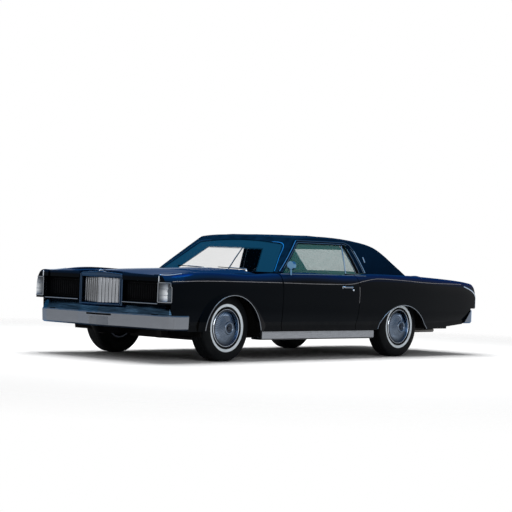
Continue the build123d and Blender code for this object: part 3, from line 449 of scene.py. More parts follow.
def turns(count):
    return [tau * i / count for i in range(count)]


def traced(finds):
    # where the rays that hit land, and the way the skin faces there
    hits = [found for found in finds if found]
    return [at for at, normal, owner in hits], [normal for at, normal, owner in hits]


def even(normals, reach=2):
    # normals averaged with their neighbours
    return [sum(normals[max(0, i - reach) : i + reach + 1], Vector()).normalized() for i in range(len(normals))]


class Skin:
    # panels of the car that trims are laid on, searched by rays
    def __init__(self, names):
        points, faces, self.owners = [], [], []
        for name in bothSides(names):
            mesh = nodes[name].data
            first = len(points)
            points += [v.co.copy() for v in mesh.vertices]
            faces += [[first + i for i in polygon.vertices] for polygon in mesh.polygons]
            self.owners += [name] * len(mesh.polygons)
        self.tree = BVHTree.FromPolygons(points, faces)

    def hit(self, start, toward):
        toward = Vector(toward)
        at, normal, index, far = self.tree.ray_cast(Vector(start), toward)
        if at is None:
            return None
        return at, normal if normal.dot(toward) < 0 else -normal, self.owners[index]

    def fromSide(self, side, y, z):
        return self.hit((side * 1.4, y, z), (-side, 0, 0))

    def fromAbove(self, x, y, z=2.0):
        return self.hit((x, y, z), (0, 0, -1))

    def fromBelow(self, x, y, z):
        return self.hit((x, y, z), (0, 0, 1))

    def fromFront(self, x, z):
        return self.hit((x, nose - 0.5, z), (0, 1, 0))

    def fromBehind(self, x, z):
        return self.hit((x, tail + 0.5, z), (0, -1, 0))


def evenLine(points, step, round=True):
    # a smooth line through the points, cut into even steps
    points = [Vector(p) for p in points]
    dense = points
    if round and len(points) > 2:
        dense = []
        ends = [points[0] * 2 - points[1]] + points + [points[-1] * 2 - points[-2]]
        for a, b, c, d in zip(ends, ends[1:], ends[2:], ends[3:]):
            for i in range(12):
                t = i / 12
                bend = (a * 2 - b * 5 + c * 4 - d) * t * t + (b * 3 - a - c * 3 + d) * t**3
                dense.append((b * 2 + (c - a) * t + bend) / 2)
        dense.append(points[-1])
    reach = [0.0]
    for a, b in zip(dense, dense[1:]):
        reach.append(reach[-1] + (b - a).length)
    count = max(2, int(reach[-1] / step) + 1)
    made, k = [], 0
    for want in spread(0.0, reach[-1], count):
        while k < len(dense) - 2 and reach[k + 1] < want:
            k += 1
        span = reach[k + 1] - reach[k]
        made.append(dense[k].lerp(dense[k + 1], (want - reach[k]) / span if span else 0))
    return made


def divided(corners, longest=None, parts=6):
    # an outline's sides cut into equal parts
    made = []
    for (x0, y0), (x1, y1) in zip(corners, corners[1:]):
        if longest:
            parts = max(6, int(hypot(x1 - x0, y1 - y0) / longest))
        made += list(zip(spread(x0, x1, parts), spread(y0, y1, parts)))[:-1]
    return made


def crown(width, height, sink=0.002):
    # the section of a domed strip that sits on a panel
    w, h = width / 2, height
    dome = [(w * 0.72, h * 0.8), (0, h), (-w * 0.72, h * 0.8)]
    return [(-w, -sink), (w, -sink), (w, h * 0.35), *dome, (-w, h * 0.35)]


class Mould:
    # points and faces gathered for one piece; tone picks the finish of what is added
    def __init__(self):
        self.points, self.faces, self.tones, self.tone = [], [], [], 0

    def face(self, *corners):
        self.faces.append(corners)
        self.tones.append(self.tone)

    def loft(self, rings, closed=True, caps=True, around=False):
        # rings of as many points each, joined in order
        first, size = len(self.points), len(rings[0])
        for ring in rings:
            self.points += [Vector(p) for p in ring]
        pairs = list(zip(range(len(rings)), range(1, len(rings))))
        if around:
            pairs.append((len(rings) - 1, 0))
        for a, b in pairs:
            a, b = first + a * size, first + b * size
            for i in range(size if closed else size - 1):
                j = (i + 1) % size
                self.face(a + i, a + j, b + j, b + i)
        if caps and closed and not around:
            last = first + (len(rings) - 1) * size
            self.face(*range(first + size - 1, first - 1, -1))
            self.face(*range(last, last + size))

    def sheet(self, rows):
        self.loft(rows, closed=False, caps=False)

    def strip(self, points, normals, section, around=False):
        # a section of (across, out) pairs carried along points that have normals
        rings = []
        for i, (at, normal) in enumerate(zip(points, normals)):
            before = points[i - 1] if i or around else at
            after = points[(i + 1) % len(points)] if around else points[min(i + 1, len(points) - 1)]
            along = (after - before).normalized()
            across = along.cross(normal).normalized()
            up = across.cross(along).normalized()
            if up.dot(normal) < 0:
                up = -up
            rings.append([at + across * u + up * v for u, v in section])
        self.loft(rings, around=around)

    def laid(self, finds, section, reach=2, normal=None, around=False):
        # a strip along the places where rays hit
        points, normals = traced(finds)
        self.strip(points, [normal] * len(points) if normal else even(normals, reach), section, around)

    def turned(self, profile, centre, axis, count, side=1):
        # profile of (along, radius) pairs turned about an axis through centre
        rings = []
        for angle in turns(count):
            c, s = cos(angle), sin(angle)
            ring = {
                "X": [(along * side, radius * c, radius * s) for along, radius in profile],
                "Y": [(radius * c, along, radius * s) for along, radius in profile],
                "Z": [(radius * c, radius * s, along) for along, radius in profile],
            }[axis]
            rings.append([Vector(p) + Vector(centre) for p in ring])
        self.loft(rings, closed=False, caps=False, around=True)

    def tube(self, points, radius, count=10, flat=1.0):
        # a round bar along points; flat squeezes it in z
        points = [Vector(p) for p in points]
        rings, side = [], None
        for i, at in enumerate(points):
            along = (points[min(i + 1, len(points) - 1)] - points[max(i - 1, 0)]).normalized()
            if side is None:
                side = along.orthogonal().normalized()
            side = (side - along * side.dot(along)).normalized()
            other = along.cross(side)
            steps = [(side * cos(turn) + other * sin(turn)) * radius for turn in turns(count)]
            rings.append([at + Vector((step.x, step.y, step.z * flat)) for step in steps])
        self.loft(rings)

    def slab(self, one, other, edge=0.002, turn=None):
        # a box between two corners, with bevelled edges; turn is a matrix put on it
        low, high = (Vector(pick(pair) for pair in zip(one, other)) for pick in (min, max))
        made = bmesh.new()
        bmesh.ops.create_cube(made, size=1.0)
        for v in made.verts:
            v.co = Vector(((low[i] + high[i]) / 2 + v.co[i] * (high[i] - low[i]) for i in range(3)))
        if edge:
            bmesh.ops.bevel(made, geom=made.edges[:], offset=edge, segments=2, affect="EDGES")
        if turn is not None:
            bmesh.ops.transform(made, matrix=turn, verts=made.verts[:])
        first = len(self.points)
        self.points += [v.co.copy() for v in made.verts]
        for f in made.faces:
            self.face(*[first + v.index for v in f.verts])
        made.free()

    def moved(self, side, centre):
        # the same thing about another centre, mirrored for the car's right
        other = Mould()
        other.points = [Vector((p.x * side, p.y, p.z)) + centre for p in self.points]
        other.faces = [face[::side] for face in self.faces]
        other.tones = self.tones
        return other

    def piece(self, name, finish, slotName, body="body", at=(0, 0, 0), crease=38, soften=0):
        # the mesh as a piece of the car that moves with a body
        mesh = bpy.data.meshes.new(name)
        mesh.from_pydata([p - Vector(at) for p in self.points], [], self.faces)
        finishes = finish if isinstance(finish, list) else [finish]
        for each in finishes:
            mesh.materials.append(each)
        for polygon, tone in zip(mesh.polygons, self.tones):
            polygon.material_index = tone
        clean = bmesh.new()
        clean.from_mesh(mesh)
        bmesh.ops.remove_doubles(clean, verts=clean.verts[:], dist=0.00002)
        bmesh.ops.dissolve_degenerate(clean, edges=clean.edges[:], dist=0.00001)
        bmesh.ops.recalc_face_normals(clean, faces=clean.faces[:])
        clean.to_mesh(mesh)
        clean.free()
        mesh.shade_smooth()
        mesh.set_sharp_from_angle(angle=radians(crease))
        made = bpy.data.objects.new(name, mesh)
        bpy.context.scene.collection.objects.link(made)
        made.location = at
        if soften:
            rounder = made.modifiers.new("soften", "SUBSURF")
            rounder.levels = rounder.render_levels = soften
        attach(made, body)
        return made


def moulding(name, finish, finds, section, slotName="chrome", body="body", **how):
    # a piece that is one strip
    mould = Mould()
    mould.laid(finds, section, **how)
    mould.piece(name, finish, slotName, body)


def onPanels(skin, side, line, step=0.014, jump=0.02):
    # points of a side line dropped on the skin, in runs that keep to one body
    runs, last = [], None
    for point in evenLine([(0, y, z) for y, z in line], step):
        found = skin.fromSide(side, point.y, point.z)
        if not found:
            last = None
            continue
        at, normal, owner = found
        if last is None or last[0] != bodyOf[owner] or abs(abs(at.x) - last[1]) > jump:
            runs.append((bodyOf[owner], []))
        runs[-1][1].append(found)
        last = (bodyOf[owner], abs(at.x))
    return [run for run in runs if len(run[1]) > 3]


def sideTrim(name, skin, line, section, finish, lift=0.0):
    # a trim strip along both of the car's sides, one piece for each body it crosses
    for side, word in sides:
        moulds = {}
        for body, finds in onPanels(skin, side, line):
            points, normals = traced(finds)
            normals = even(normals)
            points = [p + n * lift for p, n in zip(points, normals)]
            moulds.setdefault(body, Mould()).strip(points, normals, section)
        for body, mould in moulds.items():
            part = "door" if "door" in body else "side"
            mould.piece(f"{word}_{name}_{part}", finish, "chrome", body)


def arcLine(y, z, radius, first, last):
    # an arc between two angles in degrees, round (y, z)
    angles = [radians(angle) for angle in spread(first, last, 70)]
    return [(y + radius * cos(a), z + radius * sin(a)) for a in angles]


def grownLine(line, out):
    # an open outline moved outwards, its corners rounded by the even line later
    made = []
    for i, (y, z) in enumerate(line):
        before, after = line[max(i - 1, 0)], line[min(i + 1, len(line) - 1)]
        along = Vector((after[0] - before[0], after[1] - before[1])).normalized()
        made.append((y - along.y * out, z + along.x * out))
    return made


flankSkin = Skin("L_front_fender L_door L_quarter_panel")
roofSkin = Skin("roof windshield_frame")
glassSkin = Skin("quarter_windows L_door_window")

# trim along the sides, as (y, z) lines
sideLines = {
    "archFront": arcLine(-1.7405, 0.262, 0.434, 2, 178),
    "archRear": arcLine(1.1965, 0.046, 0.559, 26, 152),
    "crease": [(-2.62, 0.824), (-2.1, 0.839), (-1.16, 0.838), (-0.56, 0.833), (-0.14, 0.832), (0.165, 0.836),
               (0.3, 0.848), (0.477, 0.878), (0.72, 0.903), (1.16, 0.893), (1.706, 0.869), (2.45, 0.86)],
    "belt": [(-0.93, 0.932), (-0.4, 0.934), (0.1, 0.934), (0.52, 0.932)],
    "opening": [(-0.8995, 0.93), (-0.4445, 1.272), (0.3785, 1.272), (0.4425, 1.25), (0.4805, 1.195),
                (0.5345, 1.002), (0.5445, 0.93)],
    "sailLine": [(0.552, 0.951), (0.62, 0.950), (0.9, 0.949), (1.2, 0.948), (1.362, 0.948)],
    "dripSection": [(-0.007, -0.004), (0.007, -0.004), (0.008, 0.008), (0.004, 0.013), (-0.004, 0.013),
                    (-0.008, 0.008)],
}
for name in ("archFront", "archRear"):
    sideTrim(name, flankSkin, sideLines[name], crown(0.009, 0.005, 0.004), lipTrim)
# a thin grey pinstripe along the side crease, which is partly a painted highlight of the crease
sideTrim("crease", flankSkin, sideLines["crease"], crown(0.006, 0.0015, 0.003), pinLine)
# a thin grey edge guard down each door's rear edge, which also serves as a painted highlight of that edge
for side, word in sides:
    doorSkin = Skin(word + "_door")
    finds = [doorSkin.fromSide(side, doorRear - 0.005, z) for z in spread(0.37, 0.90, 29)]
    finds = [found for found in finds if found and abs(found[0].x) > 0.80]
    moulding(word + "_doorEdge", pinLine, finds, crown(0.006, 0.0022, 0.002), body=word + "_door")
sideTrim("belt", flankSkin, sideLines["belt"], crown(0.012, 0.006, 0.004), frameTrim)
opening = [(p.y, p.z) for p in evenLine([(0, y, z) for y, z in sideLines["opening"]], 0.02, round=False)]
sideTrim("reveal", roofSkin, grownLine(opening, 0.008), crown(0.010, 0.006, 0.006), frameTrim)
sideTrim("dripRail", roofSkin, grownLine(opening, 0.028), sideLines["dripSection"], dripTrim)
sideTrim("sailLine", roofSkin, sideLines["sailLine"], crown(0.012, 0.005, 0.004), brightTrim, lift=0.001)
print("side trim made")

quarterDivider = {"line": [(0.217, 0.949), (0.262, 1.08), (0.304, 1.2), (0.324, 1.262)],
                  "section": crown(0.014, 0.008, 0.004)}
for side, word in sides:
    finds = [glassSkin.fromSide(side, y, z) for y, z in quarterDivider["line"]]
    moulding(word + "_quarterDivider", brightTrim, finds, quarterDivider["section"], normal=Vector((side, 0, 0)))

# the roof's edge, a dark seal and bright lines over the rear of the quarter glass
quarterEdge = {
    "line": [(0.5445, 0.945), (0.5345, 1.002), (0.4805, 1.195), (0.4425, 1.245), (0.420, 1.258)],
    # how far ahead of the line, width, how proud, finish and slot
    "Filler": (0.034, 0.072, 0.004, vinyl, "vinyl_top"),
    "Seal": (0.106, 0.056, 0.002, blackTrim, "chrome"),
    "Line": (0.136, 0.012, 0.005, lipTrim, "chrome"),
    "Rim": (0.070, 0.010, 0.007, frameTrim, "chrome"),
}
edgeLine = evenLine([(0, y, z) for y, z in quarterEdge.pop("line")], 0.015)
for side, word in sides:
    for part, (ahead, width, proud, finish, slotName) in quarterEdge.items():
        finds = [glassSkin.fromSide(side, p.y - ahead, p.z) for p in edgeLine]
        section, out = crown(width, proud, 0.002), Vector((side, 0, 0))
        moulding(f"{word}_quarter{part}", finish, finds, section, slotName, normal=out)

doorHandle = {
    "y": (0.045, 0.205), "z": 0.801, "out": 0.026, "lock": (0.232, 0.770),
    "foot": [(0.0, 0.0165), (0.003, 0.0165), (0.006, 0.012), (0.008, 0.0005)],
    "button": [(0, 0.0001), (0.014, 0.0001), (0.014, 0.009), (0.012, 0.0105), (0, 0.0105)],
    "barrel": [(0, 0.0001), (0.003, 0.0001), (0.003, 0.004), (0.005, 0.006), (0.005, 0.009), (0.002, 0.0115),
               (-0.002, 0.012)],
}
for side, word in sides:
    mould = Mould()
    first, last = [flankSkin.fromSide(side, y, doorHandle["z"])[0] for y in doorHandle["y"]]
    out, inset = Vector((side * doorHandle["out"], 0, 0)), Vector((0, 0.018, 0))
    middle = (first + last) / 2 + out + Vector((side * 0.003, 0, 0))
    grip = evenLine([first, first + out + inset, middle, last + out - inset, last], 0.008)
    mould.tube(grip, 0.0085, 12, flat=1.35)
    for end in (first, last):
        mould.turned(doorHandle["foot"], end, "X", 24, side)
    mould.turned(doorHandle["button"], last + Vector((side * 0.004, 0, 0)), "X", 24, side)
    mould.piece(word + "_doorHandle", lipTrim, "chrome", word + "_door")
    mould = Mould()
    mould.turned(doorHandle["barrel"], flankSkin.fromSide(side, *doorHandle["lock"])[0], "X", 28, side)
    mould.piece(word + "_doorLock", brightTrim, "chrome", word + "_door")

sailBar = {"y": 0.640, "z": (1.083, 1.145), "section": crown(0.020, 0.005, 0.002)}
for side, word in sides:
    finds = [roofSkin.fromSide(side, sailBar["y"], z) for z in spread(*sailBar["z"], 8)]
    moulding(word + "_sailBar", brightTrim, finds, sailBar["section"], normal=finds[4][1])
print("handles and roof bars made")

tyreShape = {
    "side": [(-0.084, 0.190), (-0.096, 0.208), (-0.103, 0.238), (-0.106, 0.265), (-0.104, 0.288),
             (-0.0985, 0.318), (-0.094, 0.330), (-0.0915, 0.3385), (-0.086, 0.346), (-0.078, 0.3505)],
    "grooves": [-0.052, -0.018, 0.018, 0.052], "grooveHalf": 0.0035, "grooveDeep": 0.008, "zigzag": 0.0024,
    "white": (0.2225, 0.2515), "whiteProud": 0.0012, "wall": 0.08, "turns": 180,
}


def tyreMould():
    # outer face towards +X; the tread's grooves zigzag round the tyre
    made = Mould()
    (low, high), wall = tyreShape["white"], tyreShape["wall"]
    half, deep = tyreShape["grooveHalf"], tyreShape["grooveDeep"]
    section = [(along, radius, 0) for along, radius in tyreShape["side"]]
    for groove in tyreShape["grooves"]:
        top = tyreRadius - 0.005 * abs(groove)
        section += [(groove - half, top, 1), (groove - half * 0.6, top - deep, 1),
                    (groove + half * 0.6, top - deep, 1), (groove + half, top, 1)]
    section += [(-along, radius, 0) for along, radius in reversed(tyreShape["side"])]
    shape = []
    for (a, ra, wave), (b, rb, after) in zip(section, section[1:] + section[-1:]):
        shape.append((a, ra, wave))
        if a > wall and ra > rb:
            # the raised white ring starts and ends in a step
            for r in (high + 0.001, high, low, low - 0.001):
                if rb < r < ra:
                    shape.append((a + (b - a) * (ra - r) / (ra - rb), r, 0))
    rings = []
    for i, turn in enumerate(turns(tyreShape["turns"])):
        swing = tyreShape["zigzag"] * (1 if i % 4 < 2 else -1)
        ring = []
        for along, radius, wave in shape:
            white = low - 0.0001 <= radius <= high + 0.0001 and along > wall
            along += tyreShape["whiteProud"] * white + swing * wave
            ring.append((along, radius * cos(turn), radius * sin(turn)))
        rings.append(ring)
    made.loft(rings, around=True)
    for i, face in enumerate(made.faces):
        middle = sum((made.points[k] for k in face), Vector()) / len(face)
        made.tones[i] = int(low < hypot(middle.y, middle.z) < high and middle.x > wall)
    return made


# profiles of (along, radius) pairs, and the fins pressed in the dish
wheelCover = {
    "lip": [(0.084, 0.1955), (0.089, 0.1985), (0.0945, 0.198), (0.0975, 0.195), (0.0975, 0.1925),
            (0.094, 0.190), (0.089, 0.188)],
    "dish": [(0.089, 0.188), (0.0875, 0.183), (0.092, 0.177), (0.105, 0.155), (0.118, 0.125),
             (0.129, 0.092), (0.134, 0.070)],
    "ring": [(0.134, 0.070), (0.140, 0.068), (0.1445, 0.062), (0.1455, 0.055), (0.143, 0.049), (0.138, 0.046)],
    "well": [(0.138, 0.046), (0.1365, 0.040), (0.137, 0.026)],
    "cap": [(0.137, 0.026), (0.1425, 0.0245), (0.146, 0.019), (0.1475, 0.010), (0.148, 0.0004)],
    "fins": 48, "finHigh": 0.0045, "finWide": 0.36, "finSunk": 0.0015, "finRise": (0.1, 0.9, 1.0, 0.9, 0.2),
}


def coverMould():
    made = Mould()
    for part, made.tone in (("lip", 2), ("dish", 0), ("ring", 0), ("well", 1), ("cap", 1)):
        made.turned(wheelCover[part], (0, 0, 0), "X", 96)
    made.tone = 0
    pitch, high, sunk = tau / wheelCover["fins"], wheelCover["finHigh"], wheelCover["finSunk"]
    for k in range(wheelCover["fins"]):
        rings = []
        for (x, radius), rise in zip(wheelCover["dish"][2:], wheelCover["finRise"]):
            ring = []
            for step, lift in ((-1, -sunk), (-0.7, 0.5 * rise * high), (0.3, rise * high), (1, -sunk)):
                a = pitch * (k + 0.5) + step * pitch * wheelCover["finWide"]
                ring.append((x + lift, radius * cos(a), radius * sin(a)))
            rings.append(ring)
        made.loft(rings)
    return made


tyreMade, coverMade = tyreMould(), coverMould()
for side, word in sides:
    for place, y in (("front", frontAxle), ("rear", rearAxle)):
        wheel, at = f"{word}_{place}_", Vector((side * halfTrack, y, tyreRadius))
        body, covers = bodyOf[wheel + "tyre"], [coverChrome, coverDark, brightTrim]
        tyre = tyreMade.moved(side, at)
        tyre = tyre.piece(wheel + "tyreMade", [rubber, whiteRubber], "tyre_rubber", body, at)
        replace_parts(tyre, wheel + "tyre")
        coverMade.moved(side, at).piece(wheel + "wheelCover", covers, "wheel_chrome", body, at)
print("wheels made")

grille = {
    "half": 0.284, "low": 0.5745, "high": 0.8415, "vee": 0.050 / 0.330, "barVee": 0.235, "bars": 14,
    "barWidth": 0.035, "barDeep": 0.016, "recess": 0.024, "outer": 0.320, "inner": 0.286, "foot": 0.5523,
    "back": 0.092, "steps": [-0.320, -0.285, -0.2, -0.12, -0.06, 0.0, 0.06, 0.12, 0.2, 0.285, 0.320],
    # a bar's section, in shares of its half width and depth
    "barSection": [(-1, 0), (-1, -0.7), (-0.82, -0.95), (-0.5, -1), (0.5, -1), (0.82, -0.95), (1, -0.7),
                   (1, 0)],
}
half, low, high = grille["half"], grille["low"], grille["high"]


def veeFront(x, back=0.0, slope=grille["vee"]):
    # how far forward the grille's face stands at x
    return nose + abs(x) * slope + back


def barFront(x, back):
    return veeFront(x, grille["recess"] + back, grille["barVee"])


mould = Mould()
pitch = 2 * half / grille["bars"]
for k in range(grille["bars"]):
    rings = []
    for z, slim, shallow in ((low, 0.94, 0.82), (low + 0.006, 1, 1), (high - 0.006, 1, 1), (high, 0.94, 0.82)):
        ring = []
        for u, v in grille["barSection"]:
            x = -half + pitch * (k + 0.5) + u * grille["barWidth"] / 2 * slim
            ring.append((x, barFront(x, v * grille["barDeep"] * shallow), z))
        rings.append(ring)
    mould.loft(rings)
mould.tone = 1
mould.sheet([[(x, barFront(x, -0.001), z) for x in (-half, 0, half)] for z in (low, high)])
mould.piece("grilleBars", [grilleMetal, blackTrim], "chrome")

mould = Mould()
for grow, out, radius, rise in ((0.006, -0.002, 0.0065, 0.0), (0.031, 0.001, 0.007, 0.018)):
    a, b, t = half + grow, low - grow * 0.6, high + grow
    right = [(0, t + rise), (a * 0.5, t + rise * 0.7), (a, t), (a, (b + t) / 2), (a, b)]
    outline = [(-x, z) for x, z in right[:0:-1]] + right
    mould.tube([(x, veeFront(x, out), z) for x, z in divided(outline) + outline[-1:]], radius)
mould.tube([(x, veeFront(x), low - 0.0105) for x in spread(-0.29, 0.29, 16)], 0.007)
mould.piece("grilleShellTrim", shellChrome, "chrome")

hoodSkin = Skin("hood grille cowl")
hoodSpear = {"y": (nose + 0.112, frontAxle + 0.69), "section": crown(0.011, 0.005, 0.003)}
finds = [hoodSkin.fromAbove(0, y) for y in spread(*hoodSpear["y"], 59)]
moulding("hoodSpear", brightTrim, finds, hoodSpear["section"], body="hood", normal=Vector((0, 0, 1)))

# how far along, half width and height of the cap's sections
noseCap = [(0.0, 0.003, 0.004), (0.12, 0.009, 0.017), (0.35, 0.0105, 0.022), (0.7, 0.009, 0.016),
           (1.0, 0.004, 0.005)]
mould = Mould()
rings = []
for t, wide, tall in noseCap:
    y = nose + 0.008 + 0.076 * t
    z = hoodSkin.fromAbove(0, y)[0].z - 0.003
    rightHalf = [(wide, 0), (wide * 0.8, tall * 0.55), (wide * 0.25, tall)]
    rings.append([(x, y, z + up) for x, up in rightHalf + [(-x, up) for x, up in reversed(rightHalf)]])
mould.loft(rings)
mould.piece("noseCap", brightTrim, "chrome", soften=1)


def shellTop(x):
    return 0.904 - abs(x) * 0.1167 if abs(x) < 0.12 else 0.890 - (abs(x) - 0.12) * 0.09


# the shell round the bars: a head and a foot, then its two cheeks
mould = Mould()
outer, inner, back = grille["outer"], grille["inner"], nose + grille["back"]
for bottom, top in ((lambda x: high, shellTop), (lambda x: grille["foot"], lambda x: low)):
    rings = []
    for x in grille["steps"]:
        y, z0, z1 = veeFront(x), bottom(x), top(x)
        rings.append([(x, y, z0 + 0.003), (x, y, z1 - 0.005), (x, y + 0.005, z1), (x, back, z1), (x, back, z0),
                      (x, y + 0.003, z0)])
    mould.loft(rings)
for sign in (-1, 1):
    y0, y1 = veeFront(inner, 0.001), veeFront(outer, 0.001)
    cheek = [(inner, y0), (outer - 0.004, y1), (outer, y1 + 0.004), (outer, back), (inner, back)]
    mould.loft([[(sign * x, y, z) for x, y in cheek] for z in (low - 0.004, high + 0.004)])
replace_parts(mould.piece("grilleShell", shellChrome, "chrome", crease=30), "grille")
print("grille made")

lampMouth = {"in": 0.330, "out": 0.853, "foot": 0.598, "back": 0.035, "lamps": (0.465, 0.712)}
coverRibs = {"x": (0.362, 0.816), "count": 15, "z": (0.634, 0.640, 0.783, 0.789), "lines": (0.624, 0.799),
             "lineX": (0.348, 0.830)}
lampRim = [(0.004, 0.079), (-0.004, 0.0795), (-0.007, 0.077), (-0.007, 0.072), (-0.003, 0.070)]
lampGlass = [(-0.003, 0.070), (-0.008, 0.055), (-0.0115, 0.030), (-0.0125, 0.0004)]
for side, word in sides:
    mould = Mould()
    y, z = nose + lampMouth["back"], lampMouth["foot"]
    mould.tube([(side * lampMouth["in"], y, z), (side * lampMouth["out"], y, z)], 0.006)
    mould.piece(word + "_lampMouthTrim", lipTrim, "chrome")
    mould = Mould()
    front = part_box(word + "_headlight_cover")[0].y
    for k in spread(*coverRibs["x"], coverRibs["count"] - 1):
        x, rings = side * k, []
        for z, tall in zip(coverRibs["z"], (0.0004, 0.003, 0.003, 0.0004)):
            rib = ((-0.004, 0.001), (-0.0025, -tall), (0.0025, -tall), (0.004, 0.001))
            rings.append([(x + aside, front + back, z) for aside, back in rib])
        mould.loft(rings)
    for z in coverRibs["lines"]:
        mould.tube([(side * x, front - 0.001, z) for x in coverRibs["lineX"]], 0.0028, 8)
    mould.piece(word + "_coverRibs", coverPaint, "dash_plastic", word + "_headlight_cover")
    mould = Mould()
    for x in lampMouth["lamps"]:
        for profile, mould.tone in ((lampRim, 0), (lampGlass, 1)):
            mould.turned(profile, (side * x, nose + 0.1465, 0.705), "Y", 48)
    mould.piece(word + "_headlampRims", [brightTrim, clearLens], "lamp_lens")
print("headlight openings made")

cornerLamp = {"inner": 0.8585, "low": 0.6165, "high": 0.8115, "back": nose + 0.0965, "bars": (0.36, 0.68)}
fenderBlade = {"x": 0.868, "z": (0.822, 0.874), "long": 0.30, "section": crown(0.012, 0.006, 0.005)}
cornerSkin = Skin("L_front_fender parking_lamps front_bumper")


def roundCorner(side, z):
    # places round the car's corner at one height, from its front to its side
    made, inner, back = [], cornerLamp["inner"], cornerLamp["back"]
    for turn in spread(0.0, pi / 2, 26):
        toward = Vector((side * sin(turn), -cos(turn), 0))
        found = cornerSkin.hit(Vector((side * 0.80, back + 0.12, z)) + toward * 0.8, -toward)
        if found and abs(found[0].x) >= inner - 0.001 and found[0].y <= back + 0.001:
            made.append(found)
    return made


for side, word in sides:
    mould = Mould()
    low, high = cornerLamp["low"], cornerLamp["high"]
    for z in (low, high):
        mould.laid(roundCorner(side, z), crown(0.012, 0.006, 0.004))
    for end in (0, -1):
        mould.laid([roundCorner(side, z)[end] for z in spread(low, high, 12)], crown(0.012, 0.007, 0.004))
    for share in cornerLamp["bars"]:
        mould.laid(roundCorner(side, low + (high - low) * share), crown(0.003, 0.003, 0.002))
    mould.piece(word + "_cornerLampFrame", lipTrim, "chrome")

    # a blade up the fender's front edge and back along its top
    x = side * fenderBlade["x"]
    front = [flankSkin.fromFront(x, z) for z in spread(*fenderBlade["z"], 15)]
    start = traced(front)[0][0].y + 0.02
    top = [flankSkin.fromAbove(x, y) for y in spread(start, start + fenderBlade["long"], 25)]
    top = [found for found in top if found and found[0].z > 0.8]
    moulding(word + "_fenderBlade", brightTrim, front + top, fenderBlade["section"], reach=3)
print("corner lamps made")

bumperFace = {
    # middle, reach, height and half thickness of the dark slots: black strips laid on the face as painted shade,
    # the middle one above the plate and the outer two at the jack slots
    "slots": ((0.0, 0.185, 0.458, 0.010), (0.77, 0.048, 0.486, 0.006), (-0.77, 0.048, 0.486, 0.006)),
    "plateWide": 0.150, "plateLow": 0.342, "plateHigh": 0.440,
    "valance": [(0.0, 0.040), (0.10, 0.050), (0.16, 0.066), (0.20, 0.100)],
    "valanceSection": ((0, 0.350), (0.012, 0.350), (0.075, 0.262), (0.063, 0.262)),
    "bolt": [(0.0, 0.0085), (-0.004, 0.008), (-0.0065, 0.005), (-0.007, 0.0003)], "boltAt": (0.0889, 0.418),
}
frontSkin = Skin("front_bumper")
mould = Mould()
# black strips on the bumper face, painted shade of the slot openings and of the shadow above the plate
for centre, reach, z, tall in bumperFace["slots"]:
    mould.laid([frontSkin.fromFront(x, z) for x in spread(centre - reach, centre + reach, 24)],
               [(-tall, -0.003), (tall, -0.003), (tall * 0.9, 0.0008), (-tall * 0.9, 0.0008)])
mould.piece("bumperSlots", blackTrim, "dash_plastic")
mould = Mould()
for sign in (-1, 1):
    mould.loft([[(sign * x, nose + y + step, z) for step, z in bumperFace["valanceSection"]]
                for x, y in bumperFace["valance"]])
mould.piece("frontValance", blackTrim, "underbody")
mould = Mould()
rows = []
for i, z in enumerate(spread(bumperFace["plateLow"], bumperFace["plateHigh"], 8)):
    row = []
    for k, x in enumerate(spread(-bumperFace["plateWide"], bumperFace["plateWide"], 24)):
        at, normal, owner = frontSkin.fromFront(x, z)
        row.append(at + normal * (0.003 if 0 < i < 8 and 0 < k < 24 else -0.001))
    rows.append(row)
mould.sheet(rows)
for sign in (-1, 1):
    x, z = bumperFace["boltAt"]
    mould.turned(bumperFace["bolt"], frontSkin.fromFront(sign * x, z)[0] - Vector((0, 0.002, 0)), "Y", 6)
mould.piece("frontPlateHolder", plateMetal, "chrome")
print("front bumper detailed")

tailSkin = Skin("L_quarter_panel tail_lamps rear_bumper rear_panel trunk_lid")
tailLamp = {"in": 0.774, "out": 0.902, "low": 0.5935, "high": 0.8165, "divide": 0.838, "bars": 8}
corners = ((-1, -1), (1, -1), (1, 1), (-1, 1))


def across(side, z, count):
    return [tailSkin.fromBehind(side * x, z) for x in spread(tailLamp["in"], tailLamp["out"], count)]


for side, word in sides:
    mould = Mould()
    low, high = tailLamp["low"], tailLamp["high"]
    for z in (low, high):
        mould.laid(across(side, z, 13), crown(0.012, 0.006, 0.004))
    for x, wide in ((tailLamp["in"], 0.012), (tailLamp["out"], 0.014), (tailLamp["divide"], 0.005)):
        mould.laid([tailSkin.fromBehind(side * x, z) for z in spread(low, high, 19)], crown(wide, 0.007, 0.004))
    for z in spread(low, high, tailLamp["bars"])[1:-1]:
        mould.laid(across(side, z, 9), crown(0.0025, 0.0025, 0.002))
    mould.piece(word + "_tailLampBezel", brightTrim, "chrome")
    finds = [flankSkin.fromBehind(side * 0.93, z) for z in spread(0.575, 0.835, 33)]
    moulding(word + "_quarterEdge", brightTrim, finds, crown(0.016, 0.006, 0.005), reach=3)

# bars each side of the lid's hump, which is round
hump = {"radius": 0.312, "z": 0.640, "moulding": 0.268}
rearBars = {"edges": (0.610, 0.803), "bars": spread(0.632, 0.781, 8)}
mould = Mould()
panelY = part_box("rear_panel")[1].y
for side, word in sides:
    rows = [(z, 0.012, 0.702, 0.001, 0.005, 8) for z in rearBars["edges"]]
    rows += [(z, 0.02, 0.694, 0.0005, 0.0028, 6) for z in rearBars["bars"]]
    for z, gap, end, proud, radius, count in rows:
        start = sqrt(hump["radius"] ** 2 - (z - hump["z"]) ** 2) + gap
        mould.tube([(side * x, panelY + proud, z) for x in (start, end)], radius, count)
mould.piece("rearPanelBars", brightTrim, "chrome")

